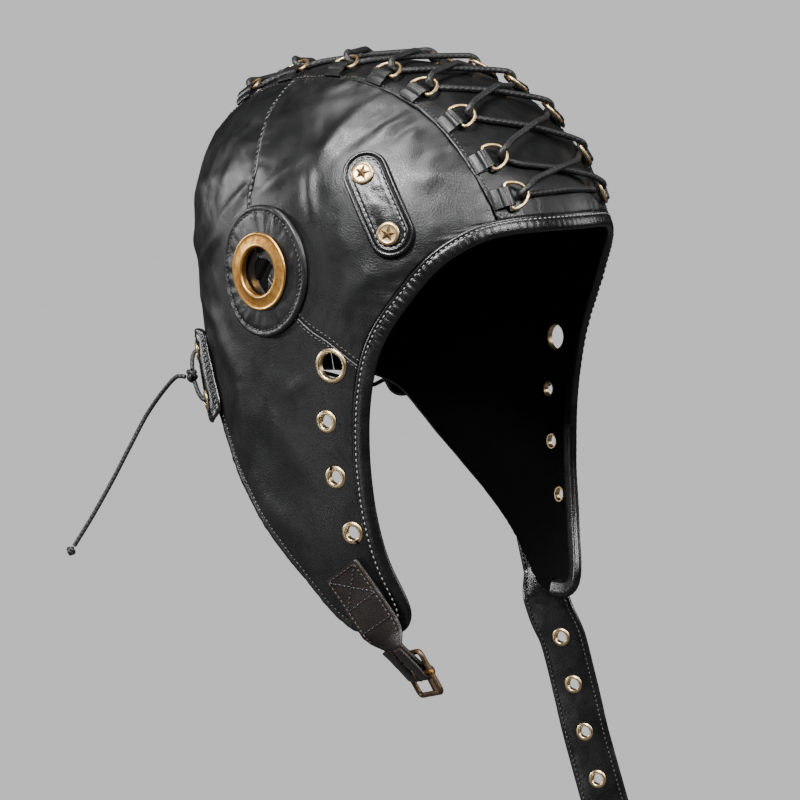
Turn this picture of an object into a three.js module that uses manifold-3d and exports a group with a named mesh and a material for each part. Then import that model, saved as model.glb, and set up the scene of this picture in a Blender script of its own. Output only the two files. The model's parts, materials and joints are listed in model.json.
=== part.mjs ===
// A close-fitting lace-up leather cap with hanging ear flaps, a chin strap and a buckle.
// Millimetres, +Z up. The front looks along -Y and the wearer's right is -X.
// The origin is the inside of the crown at its highest point.

import * as THREE from 'three';
import { mergeVertices } from 'three/addons/utils/BufferGeometryUtils.js';
import Module from 'manifold-3d';

const wasm = await Module();
wasm.setup();

// Sizes of the cap
const LEATHER = 2.0;          // wall of the panels
const HALF_WIDTH = 82.5;      // centre line to the side, at the girth
const FRONT_REACH = 100;      // ear line to the brow, at the girth
const BACK_REACH = 103.5;     // ear line to the back, at the girth
const CROWN_HEIGHT = 85;      // girth up to the top of the crown
const CROWN_SETBACK = 10;     // the top lies this far behind the middle of the girth
const BROW_DROP = 71;         // top down to the front edge
const FLAP_DROP = 246;        // top down to the flap tips
const NAPE_DROP = 145;        // top down to the back hem
const FRONT_FULLNESS = 2.07;  // exponents of the dome: 2 is an ellipse, more is squarer
const SIDE_FULLNESS = 2.37;
const BACK_FULLNESS = 2.3;

// Seams and edges
const GAP = 0.3;              // clearance between neighbouring pieces
const STRIP_HALF_BROW = 38.5;
const STRIP_HALF_TOP = 42;
const STRIP_HALF_NAPE = 38;
const BINDING_WIDTH = 6.5;
const BINDING_PROUD = 0.9;    // the binding stands this far off the panels, inside and out

// Ear patch and its ring
const EAR_Y = 0;
const EAR_DROP = 88;
const PATCH_WIDTH = 53;
const PATCH_HEIGHT = 58;
const PATCH_LEATHER = 2.0;
const EAR_RING_OUTER = 34;
const EAR_RING_INNER = 21;
const EAR_RING_HEIGHT = 2.8;

// Studded side tab
const SIDE_TAB_Y = -56;
const SIDE_TAB_DROP = 58;
const SIDE_TAB_LEAN = 29;     // degrees forward of straight down
const SIDE_TAB_WIDTH = 21;
const SIDE_TAB_LEATHER = 2.4;
const STUD_SPACING = 29;
const STUD_DIAMETER = 10;
const STUD_HEIGHT = 1.2;
const STAR_RELIEF = 0.5;

// Eyelets
const FLAP_EYELET_WIDE = { outer: 15.2, inner: 11.2 };
const FLAP_EYELET_SMALL = { outer: 10, inner: 5.8 };
const STRAP_EYELET = { outer: 8.6, inner: 5 };
const BACK_EYELET = { outer: 9.6, inner: 5.4 };
const EYELET_WALL = 0.6;
const EYELET_RISE = 0.9;

// Crown lacing
const TAB_REACH = 7.5;        // seam to the bar of a lacing ring
const TAB_WIDTH = 8.5;
const TAB_LEATHER = 1.0;
const RING_WIRE = 1.6;
const RING_WIDTH = 13.5;
const RING_DEPTH = 10.5;
const RING_TILT = 11;          // degrees, lifted by the lace under the bow
const LACE = 2.4;
const LACE_KNOT = 7;

// Back lacing
const BACK_TAB_X = 59;
const BACK_TAB_DROP = 138;
const BACK_TAB_LENGTH = 45;
const BACK_TAB_WIDTH = 15;
const BACK_TAB_LEAN = 27;
const BACK_TAB_LIFT = 2.9;    // room under the eyelet side for the lace
const BACK_EYELET_SPACING = 24;
const BACK_LACE = 2.0;
const BACK_KNOT = 6.5;
const TAIL_KNOT = 4.6;

// Straps and buckle
const STRAP_LEATHER = 2.2;
const CHIN_STRAP_WIDTH = 23;
const CHIN_EYELET_PITCH = 22.5;
const CHIN_FIRST_EYELET = 11;  // from the strap's first free section
const BUCKLE_STRAP_WIDTH = 21;
const FOLD_LENGTH = 17;       // strap folded round the buckle's bar and sewn back on itself
const FOLD_LEATHER = 1.6;
const BUCKLE_WIRE = 2.4;
const BUCKLE_INNER_WIDTH = 22.4;
const BUCKLE_HALF_LENGTH = 10; // middle bar to either end bar
const BUCKLE_TILT = 17;       // degrees, so that the rear bar clears the strap's face
const BOSS_REACH = 1.0;       // ends of the middle bar, outside the frame
const PRONG_WIDTH = 2.6;
const PRONG_THICK = 1.7;
const HINGE_CLEARANCE = 0.35;

// Derived levels
const topZ = LEATHER;
const girthZ = topZ - CROWN_HEIGHT;
const earZ = -EAR_DROP;
const skirt = FLAP_DROP + girthZ;

// Fineness of the facets
const COLUMNS = 36;
const DOME_ROWS = 8;
const SKIRT_STEPS = 6;
const EYELET_SIDES = 8;
const EAR_RING_SIDES = 18;

const blackLeather = new THREE.MeshStandardMaterial({ color: 0x17181a, roughness: 0.42, metalness: 0 });
const trimLeather = new THREE.MeshStandardMaterial({ color: 0x131313, roughness: 0.5, metalness: 0 });
const brownLeather = new THREE.MeshStandardMaterial({ color: 0x2e211b, roughness: 0.5, metalness: 0 });
const brass = new THREE.MeshStandardMaterial({ color: 0xa98a4e, roughness: 0.35, metalness: 1 });
const darkSteel = new THREE.MeshStandardMaterial({ color: 0x2a2622, roughness: 0.4, metalness: 1 });
const cordBlack = new THREE.MeshStandardMaterial({ color: 0x0d0d0e, roughness: 0.7, metalness: 0 });

// Sections of the cap below the girth, as shares: drop of the skirt, the rest of the girth's sizes
const SKIRT_SECTIONS = [
  { drop: 0.00, half: 1.000, front: 1.00, back: 1.00 },
  { drop: 0.18, half: 0.995, front: 1.00, back: 0.95 },
  { drop: 0.46, half: 0.960, front: 0.98, back: 0.87 },
  { drop: 0.61, half: 0.945, front: 0.97, back: 0.83 },
  { drop: 0.77, half: 0.920, front: 0.96, back: 0.79 },
  { drop: 0.94, half: 0.850, front: 0.95, back: 0.74 },
  { drop: 1.04, half: 0.800, front: 0.94, back: 0.72 },
  { drop: 1.40, half: 0.760, front: 0.91, back: 0.68 },
];

// Front edge from the middle of the brow to the flap tip: forward of the ear line as a share of
// the front reach, and down as a share of the way from the brow to the tip
const FRONT_EDGE = [
  { forward: 1.000, down: 0.000 },
  { forward: 0.900, down: 0.006 },
  { forward: 0.816, down: 0.027 },
  { forward: 0.704, down: 0.084 },
  { forward: 0.600, down: 0.166 },
  { forward: 0.505, down: 0.252 },
  { forward: 0.453, down: 0.326 },
  { forward: 0.416, down: 0.430 },
  { forward: 0.404, down: 0.530 },
  { forward: 0.410, down: 0.630 },
  { forward: 0.424, down: 0.703 },
  { forward: 0.458, down: 0.805 },
  { forward: 0.515, down: 0.915 },
  { forward: 0.505, down: 0.966 },
  { forward: 0.440, down: 0.995 },
  { forward: 0.330, down: 1.000 },
];

// Hem from the flap tip to the nape: back of the ear line as a share of the back reach,
// and down as a share of the way from the nape hem to the tip
const BACK_HEM = [
  { back: -0.320, down: 1.000 },
  { back: -0.200, down: 0.953 },
  { back: -0.010, down: 0.745 },
  { back: 0.200, down: 0.535 },
  { back: 0.380, down: 0.335 },
  { back: 0.475, down: 0.210 },
  { back: 0.570, down: 0.090 },
  { back: 0.700, down: 0.020 },
  { back: 0.900, down: 0.000 },
];

// Lacing rings: degrees about the middle of the girth, from the brow over the top to the back
const RING_ANGLES = [17, 29, 45, 61.5, 76.5, 93.5, 113.5, 132];

const mix = THREE.MathUtils.lerp;
const radians = THREE.MathUtils.degToRad;

// A smooth value between the rows of a table
function fromTable(rows, key, at, column) {
  const last = rows.length - 1;
  let i = 0;
  while (i < last - 1 && at > rows[i + 1][key]) i += 1;
  const slope = (k) => {
    const a = rows[Math.max(k - 1, 0)];
    const b = rows[Math.min(k + 1, last)];
    return (b[column] - a[column]) / (b[key] - a[key]);
  };
  const span = rows[i + 1][key] - rows[i][key];
  const t = THREE.MathUtils.clamp((at - rows[i][key]) / span, 0, 1);
  const keep = 2 * t ** 3 - 3 * t ** 2 + 1;
  const bend = t ** 3 - 2 * t ** 2 + t;
  return keep * rows[i][column] + (1 - keep) * rows[i + 1][column]
    + bend * span * slope(i) + (t ** 3 - t ** 2) * span * slope(i + 1);
}

// The level section of the cap's skin at height z, with the skin moved out by off
function section(z, off) {
  const up = THREE.MathUtils.clamp((z - girthZ) / (topZ + off - girthZ), 0, 1);
  const drop = Math.max(girthZ - z, 0) / skirt;
  return {
    up,
    half: HALF_WIDTH * fromTable(SKIRT_SECTIONS, 'drop', drop, 'half') + off,
    front: FRONT_REACH * fromTable(SKIRT_SECTIONS, 'drop', drop, 'front') + off,
    back: BACK_REACH * fromTable(SKIRT_SECTIONS, 'drop', drop, 'back') + off,
    centre: -CROWN_SETBACK * (1 - up),
  };
}

function fullness(isBack, share) {
  return mix(SIDE_FULLNESS, isBack ? BACK_FULLNESS : FRONT_FULLNESS, share);
}

// Below zero inside the skin and above zero outside it
function depth(point, off) {
  const s = section(point.z, off);
  const rise = Math.max((point.z - girthZ) / (topZ + off - girthZ), 0);
  const y = point.y - s.centre;
  const across = point.x / s.half;
  const along = y / (y > 0 ? s.back : s.front);
  const round = Math.hypot(across, along);
  const power = fullness(y > 0, round > 0 ? (along / round) ** 2 : 0);
  return (round ** power + rise ** power) ** (1 / power) - 1;
}

// Where a ray from an inner point leaves the skin
function leave(from, direction, off) {
  let near = 0;
  let far = 3 * FRONT_REACH;
  for (let k = 0; k < 36; k += 1) {
    const middle = (near + far) / 2;
    const at = from.clone().addScaledVector(direction, middle);
    if (depth(at, off) > 0) far = middle;
    else near = middle;
  }
  return from.clone().addScaledVector(direction, near);
}

const onSide = (side, y, z, off = 0) => leave(new THREE.Vector3(0, y, z), new THREE.Vector3(side, 0, 0), off);
const onBack = (x, z, off = 0) => leave(new THREE.Vector3(x, 0, z), new THREE.Vector3(0, 1, 0), off);

function onCrown(angle, x, off = 0) {
  const turn = radians(angle);
  return leave(
    new THREE.Vector3(x, -CROWN_SETBACK, girthZ),
    new THREE.Vector3(0, -Math.cos(turn), Math.sin(turn)),
    off,
  );
}

function skinNormal(point) {
  const step = 0.5;
  const slope = (axis) => {
    const a = point.clone().addScaledVector(axis, step);
    const b = point.clone().addScaledVector(axis, -step);
    return depth(a, 0) - depth(b, 0);
  };
  return new THREE.Vector3(
    slope(new THREE.Vector3(1, 0, 0)),
    slope(new THREE.Vector3(0, 1, 0)),
    slope(new THREE.Vector3(0, 0, 1)),
  ).normalize();
}

// A frame on the skin: x along a chosen direction, z off the skin
function skinFrame(point, along) {
  const out = skinNormal(point);
  const ahead = along.clone().addScaledVector(out, -along.dot(out)).normalize();
  const cross = new THREE.Vector3().crossVectors(out, ahead);
  return new THREE.Matrix4().makeBasis(ahead, cross, out).setPosition(point);
}

// Solids from meshes and back
function bare(geometry) {
  geometry.deleteAttribute('normal');
  geometry.deleteAttribute('uv');
  return mergeVertices(geometry, 1e-5);
}

function solid(geometry) {
  const merged = bare(geometry);
  return new wasm.Manifold(new wasm.Mesh({
    numProp: 3,
    vertProperties: new Float32Array(merged.attributes.position.array),
    triVerts: new Uint32Array(merged.index.array),
  }));
}

function shape(made) {
  const mesh = made.getMesh();
  const geometry = new THREE.BufferGeometry();
  geometry.setAttribute('position', new THREE.BufferAttribute(mesh.vertProperties, 3));
  geometry.setIndex(new THREE.BufferAttribute(mesh.triVerts, 1));
  return geometry;
}

function meshOf(rows, wraps, capped) {
  const count = rows[0].length;
  const index = [];
  const last = wraps ? rows.length : rows.length - 1;
  for (let i = 0; i < last; i += 1) {
    const a = i * count;
    const b = ((i + 1) % rows.length) * count;
    for (let j = 0; j < count; j += 1) {
      const k = (j + 1) % count;
      index.push(a + j, a + k, b + k, a + j, b + k, b + j);
    }
  }
  if (capped) {
    const end = (rows.length - 1) * count;
    for (let j = 1; j < count - 1; j += 1) {
      index.push(0, j + 1, j, end, end + j, end + j + 1);
    }
  }
  const geometry = new THREE.BufferGeometry();
  const places = rows.flat().flatMap((p) => p.toArray());
  geometry.setAttribute('position', new THREE.Float32BufferAttribute(places, 3));
  geometry.setIndex(index);
  return facedOut(geometry);
}

// Turns a closed mesh so that its faces point out
function facedOut(geometry) {
  const at = geometry.attributes.position;
  const index = geometry.index.array;
  const corner = (k) => new THREE.Vector3().fromBufferAttribute(at, index[k]);
  let volume = 0;
  for (let k = 0; k < index.length; k += 3) volume += corner(k).dot(corner(k + 1).cross(corner(k + 2)));
  if (volume < 0) {
    for (let k = 0; k < index.length; k += 3) [index[k], index[k + 1]] = [index[k + 1], index[k]];
  }
  return geometry;
}

// A section carried along a path, with one given normal a point or normals carried over
function sweep(path, outline, { closed = false, normals = null } = {}) {
  const count = path.length;
  const before = (i) => path[closed ? (i + count - 1) % count : Math.max(i - 1, 0)];
  const after = (i) => path[closed ? (i + 1) % count : Math.min(i + 1, count - 1)];
  let carried = normals ? normals[0] : new THREE.Vector3(0.31, 0.17, 0.93);
  const rows = path.map((point, i) => {
    const into = point.clone().sub(before(i));
    const away = after(i).clone().sub(point);
    const tangent = into.normalize().add(away.normalize()).normalize();
    const given = normals ? normals[i] : carried;
    const up = given.clone().addScaledVector(tangent, -given.dot(tangent)).normalize();
    carried = up;
    const side = new THREE.Vector3().crossVectors(tangent, up);
    return outline.map(([u, v]) => point.clone().addScaledVector(side, u).addScaledVector(up, v));
  });
  return meshOf(rows, closed, !closed);
}

function polygon(sides, radius) {
  return Array.from({ length: sides }, (_, k) => {
    const turn = (2 * Math.PI * (k + 0.5)) / sides;
    return [radius * Math.cos(turn), radius * Math.sin(turn)];
  });
}

// The radius of a polygon that holds a circle
const around = (radius, sides) => radius / Math.cos(Math.PI / sides);

const flatSection = (width, thick) => [
  [-width / 2, -thick / 2], [width / 2, -thick / 2], [width / 2, thick / 2], [-width / 2, thick / 2],
];

// A prism of an outline in its own plane, between two depths
function prism(outline, low, high) {
  const flat = new THREE.Shape(outline.map(([u, v]) => new THREE.Vector2(u, v)));
  const geometry = new THREE.ExtrudeGeometry(flat, { depth: high - low, bevelEnabled: false });
  return geometry.translate(0, 0, low);
}

// A prism along X of an outline given as y and z
function sidePrism(outline, from = -200, to = 200) {
  const turn = new THREE.Matrix4().makeBasis(
    new THREE.Vector3(0, 1, 0),
    new THREE.Vector3(0, 0, 1),
    new THREE.Vector3(1, 0, 0),
  );
  return solid(prism(outline, from, to).applyMatrix4(turn));
}

// The cap's skin as a closed form, down to a level under the flaps
function capForm(off) {
  const rows = [];
  const floor = -1.12 * FLAP_DROP;
  for (let k = 1; k <= DOME_ROWS + SKIRT_STEPS; k += 1) {
    const turn = (Math.PI / 2) * Math.min(k / DOME_ROWS, 1);
    const rise = Math.cos(turn) ** (2 / SIDE_FULLNESS);
    const z = k <= DOME_ROWS
      ? girthZ + (topZ + off - girthZ) * rise
      : mix(girthZ, floor, (k - DOME_ROWS) / SKIRT_STEPS);
    const s = section(z, off);
    rows.push(Array.from({ length: COLUMNS }, (_, j) => {
      const round = (2 * Math.PI * j) / COLUMNS;
      const power = fullness(Math.sin(round) > 0, Math.sin(round) ** 2);
      const reach = Math.max(1 - s.up ** power, 0) ** (1 / power);
      const length = Math.sin(round) > 0 ? s.back : s.front;
      return new THREE.Vector3(
        s.half * reach * Math.cos(round),
        s.centre + length * reach * Math.sin(round),
        z,
      );
    }));
  }
  const geometry = meshOf(rows, false, false);
  const points = rows.flat();
  const top = points.length;
  points.push(new THREE.Vector3(0, 0, topZ + off), new THREE.Vector3(0, -CROWN_SETBACK, floor));
  const end = (rows.length - 1) * COLUMNS;
  const index = Array.from(geometry.index.array);
  const flipped = index[0] !== 0;
  for (let j = 0; j < COLUMNS; j += 1) {
    const k = (j + 1) % COLUMNS;
    const up = [top, k, j];
    const down = [top + 1, end + j, end + k];
    index.push(...(flipped ? up.reverse() : up), ...(flipped ? down.reverse() : down));
  }
  const closed = new THREE.BufferGeometry();
  closed.setAttribute('position', new THREE.Float32BufferAttribute(points.flatMap((p) => p.toArray()), 3));
  closed.setIndex(index);
  return solid(facedOut(closed));
}

const wall = (low, high) => capForm(high).subtract(capForm(low));

// Edges of the cap in side view, as y and z
const frontEdge = FRONT_EDGE.map((row) => new THREE.Vector2(
  -CROWN_SETBACK - row.forward * FRONT_REACH,
  -mix(BROW_DROP, FLAP_DROP, row.down),
));
const backHem = BACK_HEM.map((row) => new THREE.Vector2(
  -CROWN_SETBACK + row.back * BACK_REACH,
  -mix(NAPE_DROP, FLAP_DROP, row.down),
));

// The front edge moved into the leather
function insetEdge(inset) {
  return frontEdge.map((point, i) => {
    const a = frontEdge[Math.max(i - 1, 0)];
    const b = frontEdge[Math.min(i + 1, frontEdge.length - 1)];
    const ahead = b.clone().sub(a).normalize();
    return [point.x - ahead.y * inset, point.y + ahead.x * inset];
  });
}

function opening(inset) {
  const edge = insetEdge(inset);
  const [, browZ] = edge[0];
  const [tipY] = edge[edge.length - 1];
  const ahead = -2 * FRONT_REACH;
  const floor = -2 * FLAP_DROP;
  return sidePrism([[ahead, browZ], ...edge, [tipY, floor], [ahead, floor]]);
}

const underHem = sidePrism([
  [backHem[0].x, -2 * FLAP_DROP],
  ...backHem.map((p) => [p.x, p.y]),
  [2 * BACK_REACH, -NAPE_DROP],
  [2 * BACK_REACH, -2 * FLAP_DROP],
]);

// The strip's half width where the strip passes a given y
const STRIP_WIDTHS = [[-FRONT_REACH, STRIP_HALF_BROW], [0, STRIP_HALF_TOP], [BACK_REACH, STRIP_HALF_NAPE]];

function stripHalf(y) {
  const [[y0, w0], [y1, w1], [y2, w2]] = STRIP_WIDTHS;
  return y < y1
    ? mix(w0, w1, THREE.MathUtils.clamp((y - y0) / (y1 - y0), 0, 1))
    : mix(w1, w2, THREE.MathUtils.clamp((y - y1) / (y2 - y1), 0, 1));
}

function stripPrism(extra) {
  const far = 2 * BACK_REACH;
  const ys = [-far, ...STRIP_WIDTHS.map(([y]) => y), far];
  const right = ys.map((y) => [-stripHalf(y) - extra, y]);
  const left = ys.reverse().map((y) => [stripHalf(y) + extra, y]);
  return solid(prism([...right.reverse(), ...left.reverse()], -2 * FLAP_DROP, 2 * LEATHER + CROWN_HEIGHT));
}

// The upper front panel in side view: ahead of the upright seam and above the slanted one
function frontRegion(shift) {
  const far = 2 * FRONT_REACH;
  return sidePrism([
    [-far, CROWN_HEIGHT], [20, CROWN_HEIGHT], [15, -14], [12, -28], [8.5, -45], [8.5, -60],
    [EAR_Y, earZ], [-21, -108.5], [-36, -118], [-49, -127.5], [-72, -142], [-far, -142],
  ].map(([y, z]) => [y - shift, z + shift]));
}

const half = (side) => sidePrism(
  [[-300, -600], [300, -600], [300, 100], [-300, 100]],
  side < 0 ? -300 : 0,
  side < 0 ? 0 : 300,
);

const group = new THREE.Group();

function add(name, geometry, material) {
  const mesh = new THREE.Mesh(geometry, material);
  mesh.name = name;
  group.add(mesh);
  return mesh;
}

const SIDES = [{ name: 'right', side: -1 }, { name: 'left', side: 1 }];

// A hole of a given radius along a frame's z
function hole(frame, radius, sides, reach = 12) {
  const drill = new THREE.CylinderGeometry(around(radius, sides), around(radius, sides), 2 * reach, sides);
  return solid(drill.rotateX(Math.PI / 2).rotateZ(Math.PI / sides).applyMatrix4(frame));
}

// A ring turned about a frame's z from a profile of radius and height
function turned(frame, profile, sides) {
  const points = [...profile, profile[0]].map(([r, h]) => new THREE.Vector2(r, h));
  const lathe = new THREE.LatheGeometry(points, sides).rotateX(Math.PI / 2).rotateZ(Math.PI / sides);
  return facedOut(bare(lathe.applyMatrix4(frame)));
}

// A rolled eyelet: flange on the outside, barrel through the leather
function eyelet(frame, size, depthThrough) {
  const inner = size.inner / 2;
  const outer = size.outer / 2;
  const barrel = inner + EYELET_WALL;
  return turned(frame, [
    [inner, -depthThrough], [barrel, -depthThrough], [barrel, GAP / 2], [outer, GAP / 2],
    [mix(inner, outer, 0.5), GAP / 2 + EYELET_RISE], [inner, GAP / 2 + 0.3 * EYELET_RISE],
  ], EYELET_SIDES);
}

const eyeletHole = (frame, size) => hole(frame, size.inner / 2 + EYELET_WALL + GAP, EYELET_SIDES, 8);

const down = new THREE.Vector3(0, 0, -1);

// The front edge's y at a share of the way from the brow to the flap tip
const edgeY = (down) => -CROWN_SETBACK - FRONT_REACH * fromTable(FRONT_EDGE, 'down', down, 'forward');

// Eyelets of the flaps: share of the way from the brow to the tip, and distance in from the edge
const FLAP_EYELETS = [
  { name: '1', down: 0.3234, inset: 19.8, size: FLAP_EYELET_WIDE },
  { name: '2', down: 0.4629, inset: 19.4, size: FLAP_EYELET_SMALL },
  { name: '3', down: 0.6000, inset: 16.1, size: FLAP_EYELET_SMALL },
  { name: '4', down: 0.7371, inset: 12.2, size: FLAP_EYELET_SMALL },
].map((row) => ({ ...row, y: edgeY(row.down) + row.inset, z: -mix(BROW_DROP, FLAP_DROP, row.down) }));

const flapEyeletFrame = (side, row) => skinFrame(onSide(side, row.y, row.z), down);

// Panels
const panelWall = wall(-LEATHER, 0).subtract(opening(BINDING_WIDTH + GAP)).subtract(underHem);

function ringFrame(side, angle) {
  const width = stripHalf(onCrown(angle, side * STRIP_HALF_TOP).y);
  return skinFrame(onCrown(angle, side * (width - TAB_REACH)), new THREE.Vector3(-side, 0, 0));
}

const barHeight = TAB_LEATHER + HINGE_CLEARANCE + RING_WIRE / 2;

// A leather tab folded round the bar of a lacing ring, its root sunk in the strip
function laceTab(side, angle) {
  const loop = barHeight + 0.1;
  const arc = Array.from({ length: 5 }, (_, k) => {
    const turn = -Math.PI / 2 + (Math.PI * k) / 4;
    return [loop * Math.cos(turn), barHeight + loop * Math.sin(turn)];
  });
  const root = -TAB_REACH + 1;
  const outline = [[root, -0.85 * LEATHER], ...arc, [root + 2.5, 1.1 * TAB_LEATHER], [root, -0.1]];
  const tab = new THREE.Shape(outline.map(([u, v]) => new THREE.Vector2(u, v)));
  const eye = polygon(6, around(RING_WIRE / 2 + HINGE_CLEARANCE, 6))
    .map(([u, v]) => new THREE.Vector2(u, v + barHeight));
  tab.holes.push(new THREE.Path(eye));
  const geometry = new THREE.ExtrudeGeometry(tab, { depth: TAB_WIDTH, bevelEnabled: false });
  geometry.translate(0, 0, -TAB_WIDTH / 2).rotateX(Math.PI / 2);
  return solid(geometry.applyMatrix4(ringFrame(side, angle)));
}

function buildStrip() {
  let strip = panelWall.intersect(stripPrism(-GAP / 2));
  for (const { side } of SIDES) {
    for (const angle of RING_ANGLES) strip = strip.add(laceTab(side, angle));
  }
  add('crown_strip', shape(strip), blackLeather);
}

function buildPanels() {
  const outside = panelWall.subtract(stripPrism(GAP / 2));
  for (const { name, side } of SIDES) {
    const part = outside.intersect(half(side));
    add(`side_panel_${name}`, shape(part.intersect(frontRegion(GAP / 2))), blackLeather);
    let flap = part.subtract(frontRegion(-GAP / 2));
    for (const row of FLAP_EYELETS) flap = flap.subtract(eyeletHole(flapEyeletFrame(side, row), row.size));
    add(`flap_panel_${name}`, shape(flap), blackLeather);
    for (const row of FLAP_EYELETS) {
      add(`flap_eyelet_${name}_${row.name}`, eyelet(flapEyeletFrame(side, row), row.size, LEATHER + GAP), brass);
    }
  }
}

function buildBinding() {
  const thick = wall(-LEATHER - BINDING_PROUD, BINDING_PROUD);
  const band = thick.subtract(opening(0)).intersect(opening(BINDING_WIDTH)).subtract(underHem);
  add('face_binding', shape(band), trimLeather);
}

// Ear patches and their brass rings
function buildEars() {
  const cover = wall(GAP, GAP + PATCH_LEATHER);
  const disc = Array.from({ length: 22 }, (_, k) => {
    const turn = (2 * Math.PI * k) / 22;
    return [EAR_Y + (PATCH_WIDTH / 2) * Math.cos(turn), earZ + (PATCH_HEIGHT / 2) * Math.sin(turn)];
  });
  const inner = EAR_RING_INNER / 2;
  const outer = EAR_RING_OUTER / 2;
  const barrel = inner + 1;
  for (const { name, side } of SIDES) {
    const frame = skinFrame(onSide(side, EAR_Y, earZ, GAP + PATCH_LEATHER), down);
    const patch = cover.intersect(sidePrism(disc)).intersect(half(side))
      .subtract(hole(frame, barrel + GAP, EAR_RING_SIDES));
    add(`ear_patch_${name}`, shape(patch), blackLeather);
    add(`ear_grommet_${name}`, turned(frame, [
      [inner, -0.8 * PATCH_LEATHER], [barrel, -0.8 * PATCH_LEATHER], [barrel, 0], [outer, 0],
      [outer - 0.4, 0.4 * EAR_RING_HEIGHT], [mix(inner, outer, 0.68), 0.9 * EAR_RING_HEIGHT],
      [mix(inner, outer, 0.4), EAR_RING_HEIGHT], [inner + 0.4, 0.55 * EAR_RING_HEIGHT],
    ], EAR_RING_SIDES), brass);
  }
}

// A rounded bar outline of two half circles
function pill(length, width, steps = 6) {
  const r = width / 2;
  const reach = length / 2 - r;
  return [1, -1].flatMap((end) => Array.from({ length: steps + 1 }, (_, k) => {
    const turn = -Math.PI / 2 + (Math.PI * k) / steps;
    return [end * (reach + r * Math.cos(turn)), end * r * Math.sin(turn)];
  }));
}

function star(points, outer, inner) {
  return Array.from({ length: 2 * points }, (_, k) => {
    const r = k % 2 ? inner : outer;
    const turn = (Math.PI * k) / points;
    return [r * Math.cos(turn), r * Math.sin(turn)];
  });
}

// Studded tabs on the sides
function buildSideTabs() {
  const layer = wall(GAP, GAP + SIDE_TAB_LEATHER);
  const lean = radians(SIDE_TAB_LEAN);
  const along = new THREE.Vector3(0, -Math.sin(lean), -Math.cos(lean));
  for (const { name, side } of SIDES) {
    const frame = skinFrame(onSide(side, SIDE_TAB_Y, -SIDE_TAB_DROP), along);
    const outline = pill(STUD_SPACING + SIDE_TAB_WIDTH, SIDE_TAB_WIDTH);
    const cutter = solid(prism(outline, -10, 10).applyMatrix4(frame));
    add(`side_tab_${name}`, shape(layer.intersect(cutter)), trimLeather);
    for (const end of [-1, 1]) {
      const level = end * (STUD_SPACING / 2);
      const place = new THREE.Vector3(level, 0, 0).applyMatrix4(frame);
      const seat = onSide(side, place.y, place.z, GAP + SIDE_TAB_LEATHER);
      const base = skinFrame(seat, along);
      const disc = new THREE.CylinderGeometry(STUD_DIAMETER / 2 - 0.5, STUD_DIAMETER / 2, STUD_HEIGHT, 12);
      disc.rotateX(Math.PI / 2).translate(0, 0, GAP + STUD_HEIGHT / 2);
      const face = GAP + STUD_HEIGHT;
      const points = star(5, 0.38 * STUD_DIAMETER, 0.16 * STUD_DIAMETER);
      const mark = prism(points, face - 0.3, face + STAR_RELIEF);
      const stud = solid(disc.applyMatrix4(base)).add(solid(mark.applyMatrix4(base)));
      add(`star_stud_${name}_${end < 0 ? 'upper' : 'lower'}`, shape(stud), brass);
    }
  }
}

// The D-shaped lacing rings
function ringPath(frame) {
  const wide = (RING_WIDTH - RING_WIRE) / 2;
  const deep = RING_DEPTH - RING_WIRE;
  const tilt = radians(RING_TILT);
  const corner = 1.1;
  const flat = [[-wide + corner, 0], [wide - corner, 0], [wide, corner]];
  for (let k = 1; k <= 6; k += 1) {
    const turn = (Math.PI * k) / 7;
    flat.push([wide * Math.cos(turn), corner + (deep - corner) * Math.sin(turn)]);
  }
  flat.push([-wide, corner]);
  return flat.map(([w, d]) => new THREE.Vector3(
    d * Math.cos(tilt),
    w,
    barHeight + d * Math.sin(tilt),
  ).applyMatrix4(frame));
}

function buildRings() {
  for (const { name, side } of SIDES) {
    RING_ANGLES.forEach((angle, i) => {
      const path = ringPath(ringFrame(side, angle));
      add(`d_ring_${name}_${i + 1}`, sweep(path, polygon(5, RING_WIRE / 2), { closed: true }), brass);
    });
  }
}

// How the lace passes a ring, from the leather up through the ring and over its bow:
// inward from the bar, along the strip and height over the leather
const LACE_AT_RING = [
  { inward: 14.5, along: -5.0, height: 1.9 },
  { inward: 8.8, along: -1.8, height: 1.5 },
  { inward: 6.2, along: -0.5, height: 2.1 },
  { inward: 4.8, along: 0.0, height: 4.3 },
  { inward: 5.6, along: 0.6, height: 6.9 },
  { inward: 8.8, along: 2.0, height: 8.1 },
  { inward: 14.5, along: 5.0, height: 7.0 },
];
const LOW_CROSSING = 4.1;
const HIGH_CROSSING = 7.6;

function laceAtRing(side, i) {
  const angle = RING_ANGLES[i];
  const frame = ringFrame(side, angle);
  const bar = new THREE.Vector3().setFromMatrixPosition(frame);
  const inward = new THREE.Vector3().setFromMatrixColumn(frame, 0);
  const out = new THREE.Vector3().setFromMatrixColumn(frame, 2);
  const radius = Math.hypot(bar.y + CROWN_SETBACK, bar.z - girthZ);
  const first = i === 0;
  const last = i === RING_ANGLES.length - 1;
  return LACE_AT_RING.map((row, k) => {
    const straight = (first && k < 3) || (last && k > 3);
    const turn = straight ? 0 : THREE.MathUtils.radToDeg(row.along / radius);
    const x = bar.x + inward.x * row.inward + out.x * row.height;
    return onCrown(angle + turn, x, row.height);
  });
}

// One end of the lace, from the middle of the front bar to the knot at the back
function laceEnd(start, high) {
  const route = [];
  let side = start;
  for (let i = 0; i < RING_ANGLES.length; i += 1) {
    route.push(...laceAtRing(side, i));
    if (i < RING_ANGLES.length - 1) {
      const middle = (RING_ANGLES[i] + RING_ANGLES[i + 1]) / 2;
      route.push(onCrown(middle, 0, (i % 2 === 0) === high ? HIGH_CROSSING : LOW_CROSSING));
      side = -side;
    }
  }
  route.push(onCrown(RING_ANGLES[RING_ANGLES.length - 1], side * 2, 5.5));
  return route;
}

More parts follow.
